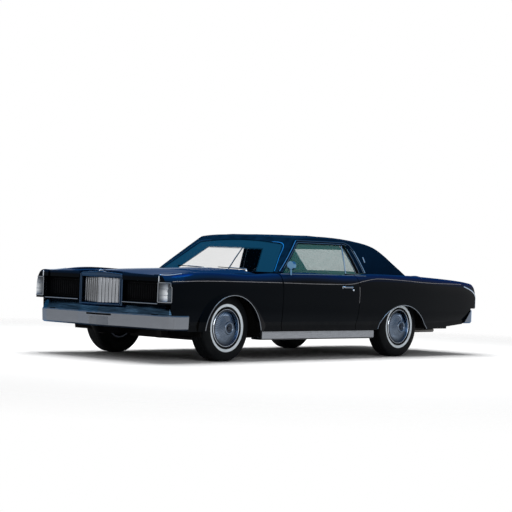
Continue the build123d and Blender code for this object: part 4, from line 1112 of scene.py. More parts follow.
radius, z = hump["moulding"], hump["z"]
finds = [tailSkin.fromBehind(cos(turn) * radius, z + sin(turn) * radius)
         for turn in spread(0.03 * pi, 0.97 * pi, 60)]
finds = [found for found in finds if found and found[2] == "trunk_lid"]
moulding("humpMoulding", brightTrim, finds, crown(0.008, 0.004, 0.003), body=bodyOf["trunk_lid"],
         normal=Vector((0, 1, 0)))
trunkLock = [(-0.001, 0.030), (0.004, 0.029), (0.006, 0.025), (0.005, 0.020), (0.0035, 0.012), (0.0055, 0.011),
             (0.0065, 0.0085), (0.0065, 0.0004)]
mould = Mould()
mould.turned(trunkLock, tailSkin.fromBehind(0.0, 0.735)[0], "Y", 40)
mould.piece("trunkLock", brightTrim, "chrome", bodyOf["trunk_lid"])

plate = {"half": (0.152, 0.076), "z": 0.470, "screwAt": 0.0889,
         "edge": ((0.0, 0.0005), (0.0, 0.002), (0.002, 0.0026), (0.006, 0.0026), (0.008, 0.0014)),
         "screw": [(0.0012, 0.0075), (0.004, 0.0072), (0.006, 0.0045), (0.0065, 0.0003)]}


def rounds(x, y, z, half, sections):
    # rings of a flat lamp or plate, from (inset, how far back) pairs
    rings = []
    for inset, back in sections:
        wide, tall = half[0] - inset, half[1] - inset
        rings.append([(x + sx * wide, y + back, z + sz * tall) for sx, sz in corners])
    return rings


mould = Mould()
z = plate["z"]
face = tailSkin.fromBehind(0.0, z)[0].y
mould.loft(rounds(0.0, face, z, plate["half"], plate["edge"]))
for x in (-plate["screwAt"], plate["screwAt"]):
    mould.turned(plate["screw"], (x, face, z), "Y", 6)
mould.piece("rearPlate", plateMetal, "chrome")

guard = {"x": 0.46, "low": 0.392, "high": 0.572, "faceTop": 0.552}
backupLamp = {"x": 0.60, "z": 0.472, "half": (0.052, 0.026),
              "rim": ((0.0, -0.001), (0.001, 0.004), (0.004, 0.0055)),
              "lens": ((0.010, 0.004), (0.012, 0.0075), (0.018, 0.0085))}
for side, word in sides:
    mould = Mould()
    x, points = side * guard["x"], []
    for z in spread(guard["low"], guard["high"], 20):
        points.append(Vector((x, tailSkin.fromBehind(x, min(z, guard["faceTop"]))[0].y + 0.001, z)))
    normals = [Vector((0, 1, 0))] * len(points)
    mould.strip(points, normals, crown(0.052, 0.022, 0.006))
    mould.tone = 1
    mould.strip(points[2:-2], normals[2:-2], [(-0.012, 0.018), (0.012, 0.018), (0.010, 0.026), (-0.010, 0.026)])
    mould.piece(word + "_rearGuard", [bumperChrome, blackTrim], "chrome")
    mould = Mould()
    x, z = side * backupLamp["x"], backupLamp["z"]
    face = tailSkin.fromBehind(x, z)[0].y
    for part, mould.tone in (("rim", 0), ("lens", 1)):
        mould.loft(rounds(x, face, z, backupLamp["half"], backupLamp[part]))
    mould.piece(word + "_backupLamp", [brightTrim, clearLens], "lamp_lens")
print("rear end made")

riserY = rearAxle - 0.252
# middle, half width and length, thickness, lean in degrees, distance between channels
seatPads = {
    "frontBase": ((0, -0.215, 0.470), (0.612, 0.222), 0.155, -4.0, 0.0765),
    "frontBack": ((0.309, 0.150, 0.705), (0.302, 0.206), 0.135, 69.6, 0.0755),
    "rearBase": ((0, riserY - 0.235, 0.452), (0.612, 0.203), 0.150, -5.0, 0.0765),
    "rearBack": ((0, riserY + 0.040, 0.700), (0.610, 0.190), 0.108, 75.6, 0.0765),
}
# depths and half widths of the sewn channels and border seams, and the slight wrinkles
stitch = {"deep": 0.0075, "wide": 0.006, "swell": 0.004, "seamDeep": 0.005, "wrinkle": 0.0015, "piping": 0.0042}


def padBody(u, v):
    # 1 over the middle of a pad, falling to 0 round its rim
    return max(0.0, 1 - abs(u) ** 14) ** 0.42 * max(0.0, 1 - abs(v) ** 6) ** 0.42


def cushionMould(at, half, thick, lean, pleat, mirror=1):
    # a crowned pad with sewn channels along it, pulled in between its corners
    made = Mould()
    lean, (wide, long) = radians(lean), half
    along = Vector((0, cos(lean), sin(lean)))
    out = Vector((0, -sin(lean), cos(lean)))
    centre = Vector((at[0] * mirror, at[1], at[2]))
    across, down = int(wide * 2 / 0.0085), 46
    top, under = [], []
    for j in range(down + 1):
        v = -cos(pi * j / down)
        for rows, sign in ((top, 1), (under, -1)):
            ring = []
            for u in spread(-1, 1, across):
                u = copysign(1 - (1 - abs(u)) ** 1.25, u)
                body = padBody(u, v)
                lift = thick / 2 * body * (1 + 0.10 * cos(u * pi / 2) * cos(v * pi / 2))
                if sign > 0:
                    inner = min(1.0, max(0.0, (0.93 - abs(u)) * 14)) * min(1.0, max(0.0, (0.80 - abs(v)) * 9))
                    phase = (u * wide / pleat) % 1.0
                    near = min(phase, 1 - phase) * pleat
                    lift -= stitch["deep"] * exp(-((near / stitch["wide"]) ** 2)) * inner
                    lift += stitch["swell"] * sin(pi * phase) * inner
                    for seam, value, size in ((0.94, abs(u), wide), (0.82, abs(v), long)):
                        lift -= stitch["seamDeep"] * exp(-(((value - seam) * size / stitch["wide"]) ** 2))
                    lift += stitch["wrinkle"] * sin(u * 23 + v * 5) * sin(v * 9 + u * 4) * body
                x, y = u * wide * (1 - 0.012 * (1 - abs(v) ** 4)), v * long * (1 - 0.01 * (1 - u * u))
                ring.append(centre + Vector((x, 0, 0)) + along * y + out * (lift * sign))
            rows.append(ring)
    made.sheet(top)
    made.sheet(under)
    piping = []
    for turn in spread(0.0, tau, 96):
        c, s = cos(turn), sin(turn)
        u, v = copysign(abs(c) ** 0.22, c) * 0.992, copysign(abs(s) ** 0.3, s) * 0.988
        rim = out * (thick / 2 * padBody(u, v) + 0.001)
        piping.append(centre + Vector((u * wide, 0, 0)) + along * (v * long) + rim)
    made.tube(piping, stitch["piping"], 6)
    return made


# for each seat its pads, and the corners of the boxes of its frame
riserLow, riserHigh = riserY - 0.43, riserY - 0.01
seats = {
    "front": ({"Base": ("frontBase", 1), "LeftBack": ("frontBack", 1), "RightBack": ("frontBack", -1)},
              [((0.146, -0.425, 0.3135), (0.606, 0.13, 0.41)), ((-0.606, -0.425, 0.3135), (-0.146, 0.13, 0.41)),
               ((-0.146, -0.425, 0.434), (0.146, 0.13, 0.47))]),
    "rear": ({"Base": ("rearBase", 1), "Back": ("rearBack", 1)},
             [((0.146, riserLow, 0.3135), (0.606, riserHigh, 0.39)),
              ((-0.606, riserLow, 0.3135), (-0.146, riserHigh, 0.39))]),
}
for seat, (pads, base) in seats.items():
    made = []
    for part, (pad, mirror) in pads.items():
        cushion = cushionMould(*seatPads[pad], mirror)
        made.append(cushion.piece(f"{seat}Seat{part}", seatHide, "seat_leather", crease=70))
    mould = Mould()
    for low, high in base:
        mould.slab(low, high, 0.012)
    mould.piece(seat + "SeatFrame", darkHide, "seat_leather")
    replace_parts(made[0], seat + "_seat")
mould = Mould()
for sign in (1, -1):
    turn = Matrix.Translation((sign * 0.309, 0.222, 0.70)) @ Matrix.Rotation(radians(-20.4), 4, "X")
    mould.slab((-0.280, -0.006, -0.185), (0.280, 0.006, 0.175), 0.005, turn)
mould.piece("seatBackShells", darkHide, "seat_leather")
print("seats made")

lined = {"front": -0.415, "back": 0.86, "half": 0.60, "bowGap": 0.255, "gap": 0.006, "thick": 0.002}
mould = Mould()
grid = []
for y in spread(lined["front"], lined["back"], 69):
    sag = 0.004 * sin(pi * ((y - lined["front"]) % lined["bowGap"]) / lined["bowGap"]) - 0.002
    row = [roofSkin.fromBelow(x, y, 0.98) for x in spread(-lined["half"], lined["half"], 40)]
    if all(row):
        grid.append([at - Vector((0, 0, lined["gap"] + sag)) for at, normal, owner in row])
mould.sheet(grid)
mould.sheet([[p + Vector((0, 0, lined["thick"])) for p in row] for row in grid])
mould.piece("headlinerCloth", headliner, "seat_leather", crease=60)

# the carpet follows the floor pan, with a slight pile
floorSkin = Skin("floor_pan")
mould = Mould()
grid = []
for y in spread(-0.90, riserY - 0.02, 95):
    row = []
    for x in spread(-0.80, 0.80, 72):
        found = floorSkin.fromAbove(x, y, 0.60)
        z = max(found[0].z if found else 0.312, 0.31)
        row.append((x, y, z + 0.007 + 0.0012 * sin(x * 61) * sin(y * 47)))
    grid.append(row)
mould.sheet(grid)
mould.piece("floorCarpet", carpet, "dash_plastic", crease=60)

mould = Mould()
mould.slab((-0.612, 1.062, 0.9468), (0.612, 1.335, 0.9515), 0.002)
mould.tone = 1
for x in (-0.40, 0.40):
    for y in spread(1.12, 1.264, 8):
        mould.slab((x - 0.085, y, 0.9505), (x + 0.085, y + 0.007, 0.9545), 0.001)
mould.piece("parcelShelf", [carpet, blackTrim], "dash_plastic")

dash = {
    "y": doorFront + 0.268, "low": 0.789, "high": 0.873, "half": 0.760, "middle": 0.832,
    # place across the car and radius of each dial
    "dials": ((0.245, 0.030), (0.325, 0.034), (0.415, 0.034), (0.495, 0.030), (-0.22, 0.028)),
    "knob": [(0.008, 0.012), (0.020, 0.0105), (0.022, 0.008), (0.022, 0.0003)], "knobs": (-0.075, 0.115),
    "glovebox": [(-0.60, 0.806), (-0.29, 0.806), (-0.29, 0.858), (-0.60, 0.858), (-0.60, 0.806)],
}
mould = Mould()
y, middle, half = dash["y"], dash["middle"], dash["half"]
mould.slab((-half, y - 0.001, dash["low"]), (half, y + 0.004, dash["high"]), 0.0015)
mould.tone = 1
for z in (dash["low"] - 0.003, dash["high"] + 0.003):
    mould.tube([(-half, y + 0.003, z), (half, y + 0.003, z)], 0.003, 6)
for x, radius in dash["dials"]:
    mould.tone = 1
    rim = [(0.003, radius + 0.004), (0.010, radius + 0.0035), (0.011, radius), (0.007, radius - 0.001)]
    mould.turned(rim, (x, y, middle), "Y", 32)
    mould.tone = 2
    mould.turned([(0.0065, radius), (0.0065, 0.0003)], (x, y, middle), "Y", 32)
    mould.tone = 3
    for turn in (radians(angle) for angle in spread(225, -45, 10)):
        mark = [(x + reach * cos(turn), y + 0.0068, middle + reach * sin(turn))
                for reach in (radius * 0.78, radius * 0.94)]
        mould.tube(mark, 0.0007, 4)
    mould.tube([(x, y + 0.0075, middle), (x - radius * 0.5, y + 0.0075, middle + radius * 0.45)], 0.0009, 4)
mould.tone = 1
for x in (-0.665, 0.665):
    for z in spread(0.800, 0.8625, 5):
        mould.slab((x - 0.06, y + 0.002, z), (x + 0.06, y + 0.010, z + 0.004), 0.001)
mould.tone = 2
mould.slab((-0.095, y + 0.002, 0.800), (0.135, y + 0.008, 0.864), 0.002)
mould.tone = 1
for x in dash["knobs"]:
    mould.turned(dash["knob"], (x, y, middle), "Y", 20)
for x in spread(-0.045, 0.059, 4):
    mould.slab((x, y + 0.007, 0.808), (x + 0.019, y + 0.013, 0.818), 0.001)
mould.tube([(x, y + 0.006, z) for x, z in dash["glovebox"]], 0.0012, 5)
mould.piece("dashPanel", [dashWood, brightTrim, dialFace, dialMark], "dash_plastic")

# the steering wheel's horn ring, spokes and pad, in the wheel's own tilted plane
steering = {"at": Vector((0.370, doorFront + 0.410, 0.800)), "tilt": 25, "hornRing": 0.108,
            "pad": ((0.006, 0.050), (0.018, 0.048), (0.026, 0.040), (0.029, 0.020), (0.030, 0.0005))}
tilt = radians(steering["tilt"])
face, up = Vector((0, cos(tilt), sin(tilt))), Vector((0, -sin(tilt), cos(tilt)))


def onWheel(x, rise, proud):
    return steering["at"] + Vector((x, 0, 0)) + up * rise + face * proud


mould = Mould()
mould.tone = 1
r = steering["hornRing"]
mould.tube([onWheel(r * cos(a), r * sin(a), 0.006) for a in spread(0.0, tau, 64)], 0.0045, 8)
for sign in (-1, 1):
    mould.tube([onWheel(sign * x, rise, proud) for x, rise, proud in
                ((0.03, 0, 0.006), (0.09, -0.004, 0.010), (0.184, -0.004, 0.005))], 0.0085)
mould.tone = 0
mould.loft([[onWheel(cos(a) * 1.35 * size, sin(a) * 0.9 * size, proud) for a in turns(32)]
            for proud, size in steering["pad"]])
mould.piece("steeringWheelTrim", [darkHide, brightTrim], "dash_plastic", bodyOf["steering_wheel"])

pedals = {"brake": (0.44, 0.034), "gas": (0.285, 0.055), "y": doorFront + 0.19, "lean": 38}
mould = Mould()
mould.tone = 1
lever = onWheel(0, 0, -0.055)
mould.tube([lever, lever + Vector((0.05, 0, 0.03)), lever + Vector((0.115, 0.012, 0.055))], 0.004, 8)
mould.tone = 0
ball = [(0.010 * cos(a), 0.010 * max(sin(a), 0.02)) for a in spread(0.0, pi, 8)]
mould.turned(ball, lever + Vector((0.118, 0.012, 0.0565)), "Y", 14)
for x, wide in (pedals["brake"], pedals["gas"]):
    y = pedals["y"]
    turn = Matrix.Translation((x, y, 0.445)) @ Matrix.Rotation(radians(pedals["lean"]), 4, "X")
    mould.slab((-wide, -0.006, -0.028), (wide, 0.006, 0.028), 0.004, turn)
    mould.tube([(x, y, 0.45), (x, y - 0.07, 0.56), (x, y - 0.09, 0.66)], 0.007, 8)
mould.piece("pedalsAndLever", [blackTrim, brightTrim], "dash_plastic")

# trim panels: the board, a pleated band, an armrest and bright lines
doorTrim = {
    "door": {"board": ((0.8685, -0.835, 0.365), (0.8792, 0.255, 0.885)), "pleats": (0.8645, 0.8685, -0.80, 24),
             "arm": ((0.80, -0.50, 0.575), (0.868, 0.05, 0.635))},
    "rearSide": {"board": ((0.776, 0.37, 0.365), (0.7915, 0.985, 0.885)), "pleats": (0.7725, 0.7765, 0.39, 13),
                 "arm": ((0.72, 0.46, 0.575), (0.776, 0.90, 0.625))},
    "pitch": 0.044, "pleatLong": 0.040, "pleatLow": 0.60, "pleatHigh": 0.845,
    "handle": [(0.866, -0.30, 0.72), (0.852, -0.285, 0.72), (0.852, -0.19, 0.735), (0.866, -0.18, 0.735)],
    "lowLine": [(0.866, -0.82, 0.585), (0.866, 0.24, 0.585)],
    "highLine": [(0.866, -0.82, 0.858), (0.866, 0.24, 0.858)],
}


def onSide(side, *points):
    return [(side * x, y, z) for x, y, z in points]


for side, word in sides:
    for part in ("door", "rearSide"):
        spec, mould = doorTrim[part], Mould()
        mould.slab(*onSide(side, *spec["board"]), 0.004)
        mould.tone = 1
        x0, x1, start, count = spec["pleats"]
        for k in range(count):
            y = start + doorTrim["pitch"] * k
            pleat = ((x0, y, doorTrim["pleatLow"]), (x1, y + doorTrim["pleatLong"], doorTrim["pleatHigh"]))
            mould.slab(*onSide(side, *pleat), 0.0018)
        mould.slab(*onSide(side, *spec["arm"]), 0.02)
        if part == "door":
            mould.tone = 2
            for line, radius, count in (("lowLine", 0.004, 6), ("highLine", 0.003, 6), ("handle", 0.0055, 8)):
                mould.tube(onSide(side, *doorTrim[line]), radius, count)
            mould.piece(word + "_doorTrim", [darkHide, seatHide, brightTrim], "seat_leather", word + "_door")
        else:
            mould.piece(word + "_rearSideTrim", [darkHide, seatHide], "seat_leather")

mirror = {"stem": [(0, -0.446, 1.292), (0, -0.43, 1.262), (0, -0.415, 1.245)],
          "z": 1.232, "half": (0.112, 0.030),
          "sections": ((-0.006, -0.428), (0.0, -0.424), (0.0, -0.412), (-0.003, -0.409))}
mould = Mould()
mould.tube(mirror["stem"], 0.005, 8)
rings = []
for grow, y in mirror["sections"]:
    wide, tall = (half + grow for half in mirror["half"])
    square = lambda share: copysign(abs(share) ** 0.5, share)
    rings.append([(square(cos(a)) * wide, y, mirror["z"] + square(sin(a)) * tall) for a in turns(24)])
mould.loft(rings)
mould.tone = 1
for x in (-0.33, 0.33):
    turn = Matrix.Translation((x, -0.395, 1.283)) @ Matrix.Rotation(radians(8), 4, "X")
    mould.slab((-0.20, -0.075, -0.008), (0.20, 0.075, 0.008), 0.007, turn)
mould.piece("mirrorAndVisors", [brightTrim, headliner], "dash_plastic")
print("cabin made")

mould = Mould()
for x in (-0.43, 0.43):
    points, normals = traced(roofSkin.fromAbove(x, y) for y in spread(-0.43, 0.955, 89))
    mould.strip(points, even(normals), crown(0.012, 0.0035, 0.003))
    for aside in (x, -x):
        stitches = [p + Vector((copysign(0.012, aside), 0, 0)) for p in points]
        mould.strip(stitches, even(normals), crown(0.0022, 0.0012, 0.002))
mould.piece("roofSeams", vinyl, "vinyl_top")

# outlines that the bright trim round the glass follows
backGlass = [(-0.556, 0.962), (0, 0.962), (0.556, 0.962), (0.592, 1.16), (0.634, 1.362), (0, 1.362),
             (-0.634, 1.362), (-0.592, 1.16), (-0.556, 0.962)]
frontGlass = [(-0.843, 0.955), (-0.738, 1.105), (-0.632, 1.256), (-0.40, 1.280), (0, 1.292), (0.40, 1.280),
              (0.632, 1.256), (0.738, 1.105), (0.843, 0.955)]
finds = [roofSkin.fromAbove(x, y) for x, y in divided(backGlass, 0.03)]
moulding("backGlassTrim", brightTrim, finds, crown(0.018, 0.007, 0.005), around=True)
screenSkin = Skin("windshield_frame roof")
finds = [screenSkin.fromFront(p.x, p.z) for p in evenLine([(x, 0, z) for x, z in frontGlass], 0.02)]
moulding("windshieldTrim", screenTrim, finds, crown(0.011, 0.004, 0.006))

wipers = {"spans": ((0.50, 0.02), (-0.14, -0.62)), "arm": 0.62, "blade": 0.18,
          "pivot": [(0.0, 0.014), (0.012, 0.012), (0.016, 0.006), (0.016, 0.0003)]}
glassFront = Skin("windshield")
mould = Mould()
for x0, x1 in wipers["spans"]:
    base = Vector((x0, -1.015, 0.955))
    mould.tone = 0
    mould.turned(wipers["pivot"], base - Vector((0, 0, 0.008)), "Z", 20)
    arm = [base + Vector((0, 0, 0.008))]
    for t in spread(0.0, 1.0, 8)[1:]:
        x = x0 + (x1 - x0) * wipers["arm"] * t
        found = glassFront.fromFront(x, 0.957 + 0.010 * t)
        arm.append(found[0] + found[1] * 0.017 if found else base + Vector((x - x0, 0.01, 0.012)))
    mould.tube(arm, 0.0035, 6)
    mould.tone = 1
    steps = zip(spread(x0 + (x1 - x0) * wipers["blade"], x1, 14), spread(0.964, 0.974, 14))
    points, normals = traced(glassFront.fromFront(x, z) for x, z in steps)
    if len(points) > 3:
        mould.tube([p + n * 0.006 for p, n in zip(points, normals)], 0.0045, 6)
mould.piece("wipers", [brightTrim, blackTrim], "chrome")
print("roof and screen trim made")

# place, foot, head, radius and turns of the coils
springs = {"front": (0.545, frontAxle, 0.275, 0.47, 0.050, 5), "rear": (0.41, rearAxle, 0.385, 0.495, 0.055, 4),
           "wire": 0.0075}
for place in ("front", "rear"):
    mould = Mould()
    x, y, low, high, radius, count = springs[place]
    seatPlate = [(0.0, 0.0004), (0.0, radius + 0.012), (0.006, radius + 0.012), (0.006, 0.0004)]
    for sign in (-1, 1):
        coil = []
        for k, z in enumerate(spread(low, high, count * 16)):
            turn = tau * k / 16
            coil.append((sign * x + radius * cos(turn), y + radius * sin(turn), z))
        mould.tube(coil, springs["wire"], 8)
        for z in (low - 0.004, high):
            mould.turned(seatPlate, (sign * x, y, z), "Z", 28)
    mould.piece(place + "Springs", frameSteel, "frame_steel")

# bars of the rear axle, on the car's left, with radius and count of sides
rearLinks = {
    "shock": [(0.60, rearAxle + 0.09, 0.325), (0.575, rearAxle + 0.17, 0.43), (0.55, rearAxle + 0.245, 0.53)],
    "lower": [(0.60, rearAxle - 0.04, 0.315), (0.585, 0.60, 0.285)],
    "upper": [(0.16, rearAxle - 0.03, 0.44), (0.30, 0.98, 0.40), (0.44, 0.86, 0.33)],
    "bush": [(-0.028, 0.0004), (-0.028, 0.030), (0.028, 0.030), (0.028, 0.0004)],
}
mould = Mould()
for sign in (-1, 1):
    shock, lower, upper = (onSide(sign, *rearLinks[bar]) for bar in ("shock", "lower", "upper"))
    mould.tube(shock[:2], 0.027, 14)
    mould.tube(shock[1:], 0.021, 14)
    mould.tube(lower, 0.019, 12)
    for end in lower:
        mould.turned(rearLinks["bush"], end, "X", 20)
    mould.tube(upper, 0.014)
mould.piece("rearLinks", frameSteel, "frame_steel")

tankStraps = (((1.70, 0.2355), (2.375, 0.2395)), ((1.700, 0.236), (1.7035, 0.43)),
              ((2.372, 0.236), (2.3755, 0.43)))
mould = Mould()
for x in (-0.17, 0.17):
    for one, other in tankStraps:
        mould.slab((x - 0.016, *one), (x + 0.016, *other), 0.001)
low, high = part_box("fuel_tank")
mould.slab((low.x - 0.008, low.y - 0.008, 0.312), (high.x + 0.008, high.y + 0.008, 0.318))
mould.piece("tankStraps", bareSteel, "frame_steel")

brakeLine = [(0.30, -1.30, 0.40), (0.44, -1.10, 0.315), (0.585, -0.80, 0.305), (0.585, 0.30, 0.305),
             (0.56, 0.72, 0.31), (0.46, 1.0, 0.42), (0.20, 1.22, 0.47)]
fuelLine = [(x - 0.02, y, z) for x, y, z in brakeLine[1:-1]] + [(0.30, 1.72, 0.43)]
mould = Mould()
for line, radius in ((brakeLine, 0.004), (fuelLine, 0.005)):
    mould.tube(evenLine(line, 0.03), radius, 6)
mould.piece("brakeAndFuelLines", bareSteel, "frame_steel")
print("underside made")

motor = {
    "front": -1.84, "back": -1.22, "middle": -1.53, "pulleyAt": -1.875,
    "gearbox": [(-1.225, 0.195, 0.47), (-1.10, 0.185, 0.46), (-1.06, 0.135, 0.44), (-0.76, 0.115, 0.425),
                (-0.70, 0.075, 0.39), (-0.46, 0.055, 0.362), (-0.405, 0.045, 0.352)],
    "bank": 0.148, "bankTilt": 42.0, "headLong": 0.29,
    # one exhaust port's bend, from the first cylinder, and the spacing of the cylinders
    "port": [(0.235, 0, 0.60), (0.262, 0.01, 0.57), (0.258, 0.05, 0.50)], "ports": (-1.74, -1.335),
    "manifold": [(0.252, -1.70, 0.50), (0.246, -1.26, 0.49)],
}
mould = Mould()
front, back, long = motor["front"], motor["back"], motor["headLong"]
mould.slab((-0.155, front, 0.37), (0.155, back, 0.60), 0.02)
mould.slab((-0.12, front + 0.05, 0.302), (0.12, back - 0.05, 0.38), 0.025)
mould.loft([[(radius * cos(a), y, z + radius * 0.82 * sin(a)) for a in turns(28)]
            for y, radius, z in motor["gearbox"]])
for sign in (-1, 1):
    # a cylinder head, its ribbed cover, then the exhaust ports and manifold
    turn = Matrix.Translation((sign * motor["bank"], motor["middle"], 0.615))
    turn = turn @ Matrix.Rotation(radians(sign * motor["bankTilt"]), 4, "Y")
    mould.tone = 0
    mould.slab((-0.085, -long, -0.10), (0.085, long, 0.052), 0.008, turn)
    mould.tone = 1
    mould.slab((-0.068, -long + 0.012, 0.05), (0.068, long - 0.012, 0.095), 0.018, turn)
    for y in spread(-0.24, 0.24, 6):
        mould.slab((-0.055, y - 0.003, 0.094), (0.055, y + 0.003, 0.0975), 0.001, turn)
    mould.tone = 2
    for y in spread(*motor["ports"], 3):
        mould.tube(evenLine([(sign * x, y + step, z) for x, step, z in motor["port"]], 0.02), 0.021)
    mould.tube(onSide(sign, *motor["manifold"]), 0.026, 12)
mould.tone = 0
mould.slab((-0.085, -1.76, 0.60), (0.085, -1.30, 0.675), 0.012)
for y in spread(-1.70, -1.34, 3):
    for sign in (-1, 1):
        mould.tube([(sign * 0.03, y, 0.665), (sign * 0.11, y + 0.01, 0.655)], 0.020)
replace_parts(mould.piece("engineBlock", [castIron, engineBlue, bareSteel], "engine_iron"), "engine")

r = 0.195
cleaner = {
    "at": (0.0, -1.53, 0.700),
    "pan": [(0.0, 0.06), (0.0, r - 0.02), (0.006, r - 0.005), (0.012, r), (0.060, r), (0.066, r + 0.004),
            (0.072, r - 0.004), (0.079, r - 0.03), (0.081, 0.05), (0.078, 0.045), (0.078, 0.0004)],
    "wingNut": [(0.078, 0.012), (0.086, 0.011), (0.088, 0.004), (0.098, 0.004), (0.099, 0.0004)],
    "snout": ((-0.045, -0.026), (0.045, -0.026), (0.045, 0.026), (-0.045, 0.026)),
}
mould = Mould()
x, y, z = cleaner["at"]
mould.turned(cleaner["pan"], (x, y, z), "Z", 64)
mould.loft([[(x + 0.16 + copysign(abs(across) - 0.015 * t, across), y + 0.02 - 0.30 * t, z + 0.035 + up)
             for across, up in cleaner["snout"]] for t in (0.0, 0.5, 1.0)])
mould.tone = 1
mould.turned(cleaner["wingNut"], (x, y, z), "Z", 16)
mould.slab((x - 0.022, y - 0.002, z + 0.086), (x + 0.022, y + 0.002, z + 0.104), 0.0015)
mould.piece("airCleaner", [engineBlue, brightTrim], "engine_iron")

# place (x, z) and radius of each pulley: crank, water pump, generator and steering pump
pulleys = (((0.0, 0.46), 0.082), ((0.0, 0.63), 0.075), ((0.215, 0.655), 0.040), ((-0.215, 0.60), 0.062))
belts, driven = ((0, 2), (0, 3), (1, 2)), ((2, 0.066, 0.15), (3, 0.055, 0.12))
mould = Mould()
front = motor["pulleyAt"]
for (x, z), r in pulleys:
    groove = [(0.028, 0.0004), (0.028, r - 0.004), (0.018, r), (0.010, r - 0.011), (0.0, r)]
    dish = [(-0.006, r - 0.006), (-0.002, r * 0.6), (-0.008, r * 0.3), (-0.010, 0.0004)]
    mould.turned(groove + dish, (x, front, z), "Y", 40)
mould.tone = 1
for belt in belts:
    (a, ra), (b, rb) = [(Vector((x, front + 0.010, z)), r - 0.006) for (x, z), r in (pulleys[i] for i in belt)]
    heading, loop = atan2(b.z - a.z, b.x - a.x), []
    for at, r, start in ((a, ra, heading + pi / 2), (b, rb, heading - pi / 2)):
        around = spread(start, start + pi, 16)
        loop += [at + Vector((cos(turn), 0, sin(turn))) * r for turn in around]
    mould.tube(loop + loop[:1], 0.006, 6)
mould.tone = 2
for i, r, long in driven:
    (x, z), radius = pulleys[i]
    housing = [(0.03, 0.0004), (0.03, r * 0.7), (0.04, r), (long, r), (long + 0.012, r * 0.8)]
    mould.turned(housing + [(long + 0.014, 0.0004)], (x, front, z), "Y", 32)
mould.piece("beltsAndPulleys", [bareSteel, rubber, castIron], "engine_iron")

fan = {"at": (0.0, -2.03, 0.63), "blades": 7, "hub": 0.04, "radius": 0.205, "chord": 0.075, "twist": 0.018,
       "hubShape": [(0.0, 0.0004), (0.0, 0.042), (0.02, 0.045), (0.11, 0.03), (0.15, 0.03)], "thick": 0.0015}
mould = Mould()
mould.turned(fan["hubShape"], fan["at"], "Y", 28)
thick, twist = Vector((0, fan["thick"], 0)), Vector((0, fan["twist"], 0))
for turn in turns(fan["blades"]):
    out, across = Vector((cos(turn), 0, sin(turn))), Vector((-sin(turn), 0, cos(turn)))
    rings = []
    for t in (0.0, 0.35, 0.7, 1.0):
        reach = fan["hub"] + (fan["radius"] - fan["hub"]) * t
        centre = Vector(fan["at"]) + out * reach + Vector((0, 0.012, 0))
        edge = across * fan["chord"] / 2 * (0.55 + 0.45 * t) + twist
        blade = [centre - edge, centre - Vector((0, 0.004, 0)), centre + edge]
        rings.append(blade + [p + thick for p in reversed(blade)])
    mould.loft(rings)
mould.piece("coolingFan", bareSteel, "engine_iron")

radiator = {"tubes": 54, "fins": 34, "post": 0.3265,
            "cap": [(0.0, 0.02), (0.012, 0.02), (0.013, 0.028), (0.02, 0.028), (0.023, 0.02), (0.023, 0.0004)]}
mould = Mould()
low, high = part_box("radiator")
for x in spread(low.x + 0.025, high.x - 0.025, radiator["tubes"] - 1):
    mould.slab((x - 0.0022, high.y - 0.002, low.z + 0.05), (x + 0.0022, high.y + 0.005, high.z - 0.06), 0)
for z in spread(low.z + 0.055, high.z - 0.065, radiator["fins"] - 1):
    mould.slab((low.x + 0.02, high.y - 0.002, z - 0.0012), (high.x - 0.02, high.y + 0.003, z + 0.0012), 0)
for z0, z1 in ((low.z - 0.002, low.z + 0.05), (high.z - 0.055, high.z + 0.004)):
    mould.slab((low.x - 0.004, low.y - 0.004, z0), (high.x + 0.004, high.y + 0.012, z1), 0.01)
mould.tone = 1
mould.turned(radiator["cap"], (0.19, (low.y + high.y) / 2, high.z), "Z", 24)
for x in (-radiator["post"], radiator["post"]):
    mould.slab((x - 0.005, low.y - 0.01, 0.36), (x + 0.005, high.y + 0.03, 0.84), 0.003)
mould.piece("radiatorCore", [deadener, brightTrim], "underbody")

# radius of each hose, then the places it passes
hoses = (
    (0.021, (0.0, -1.84, 0.70), (0.02, -1.93, 0.735), (0.10, -2.05, 0.765), (0.20, -2.25, 0.775),
     (0.22, -2.44, 0.775)),
    (0.023, (0.10, -1.88, 0.54), (0.16, -1.99, 0.47), (0.10, -2.18, 0.42), (-0.12, -2.34, 0.405),
     (-0.21, -2.44, 0.41)),
    (0.010, (-0.10, -1.36, 0.68), (-0.20, -1.26, 0.73), (-0.30, -1.18, 0.73), (-0.33, -1.12, 0.72)),
    (0.010, (-0.06, -1.80, 0.66), (-0.30, -1.50, 0.70), (-0.38, -1.25, 0.70), (-0.39, -1.12, 0.69)),
    (0.007, (0.06, -1.36, 0.69), (0.20, -1.22, 0.74), (0.34, -1.13, 0.76), (0.40, -1.12, 0.76)),
)
distributor = [(0.0, 0.035), (0.05, 0.035), (0.055, 0.042), (0.075, 0.042), (0.10, 0.03), (0.105, 0.0004)]
mould = Mould()
for radius, *line in hoses:
    mould.tube(evenLine(line, 0.02), radius, 12)
# plug leads fan out from the distributor
for sign in (1, -1):
    for y in spread(-1.73, -1.325, 3):
        lead = [(0.03, -1.26, 0.77), (sign * 0.06, -1.33, 0.79), (sign * 0.20, y + 0.06, 0.745),
                (sign * 0.262, y, 0.68), (sign * 0.25, y, 0.64)]
        mould.tube(evenLine(lead, 0.02), 0.0045, 6)
mould.turned(distributor, (0.03, -1.26, 0.665), "Z", 24)
mould.piece("hosesAndLeads", rubber, "dash_plastic")

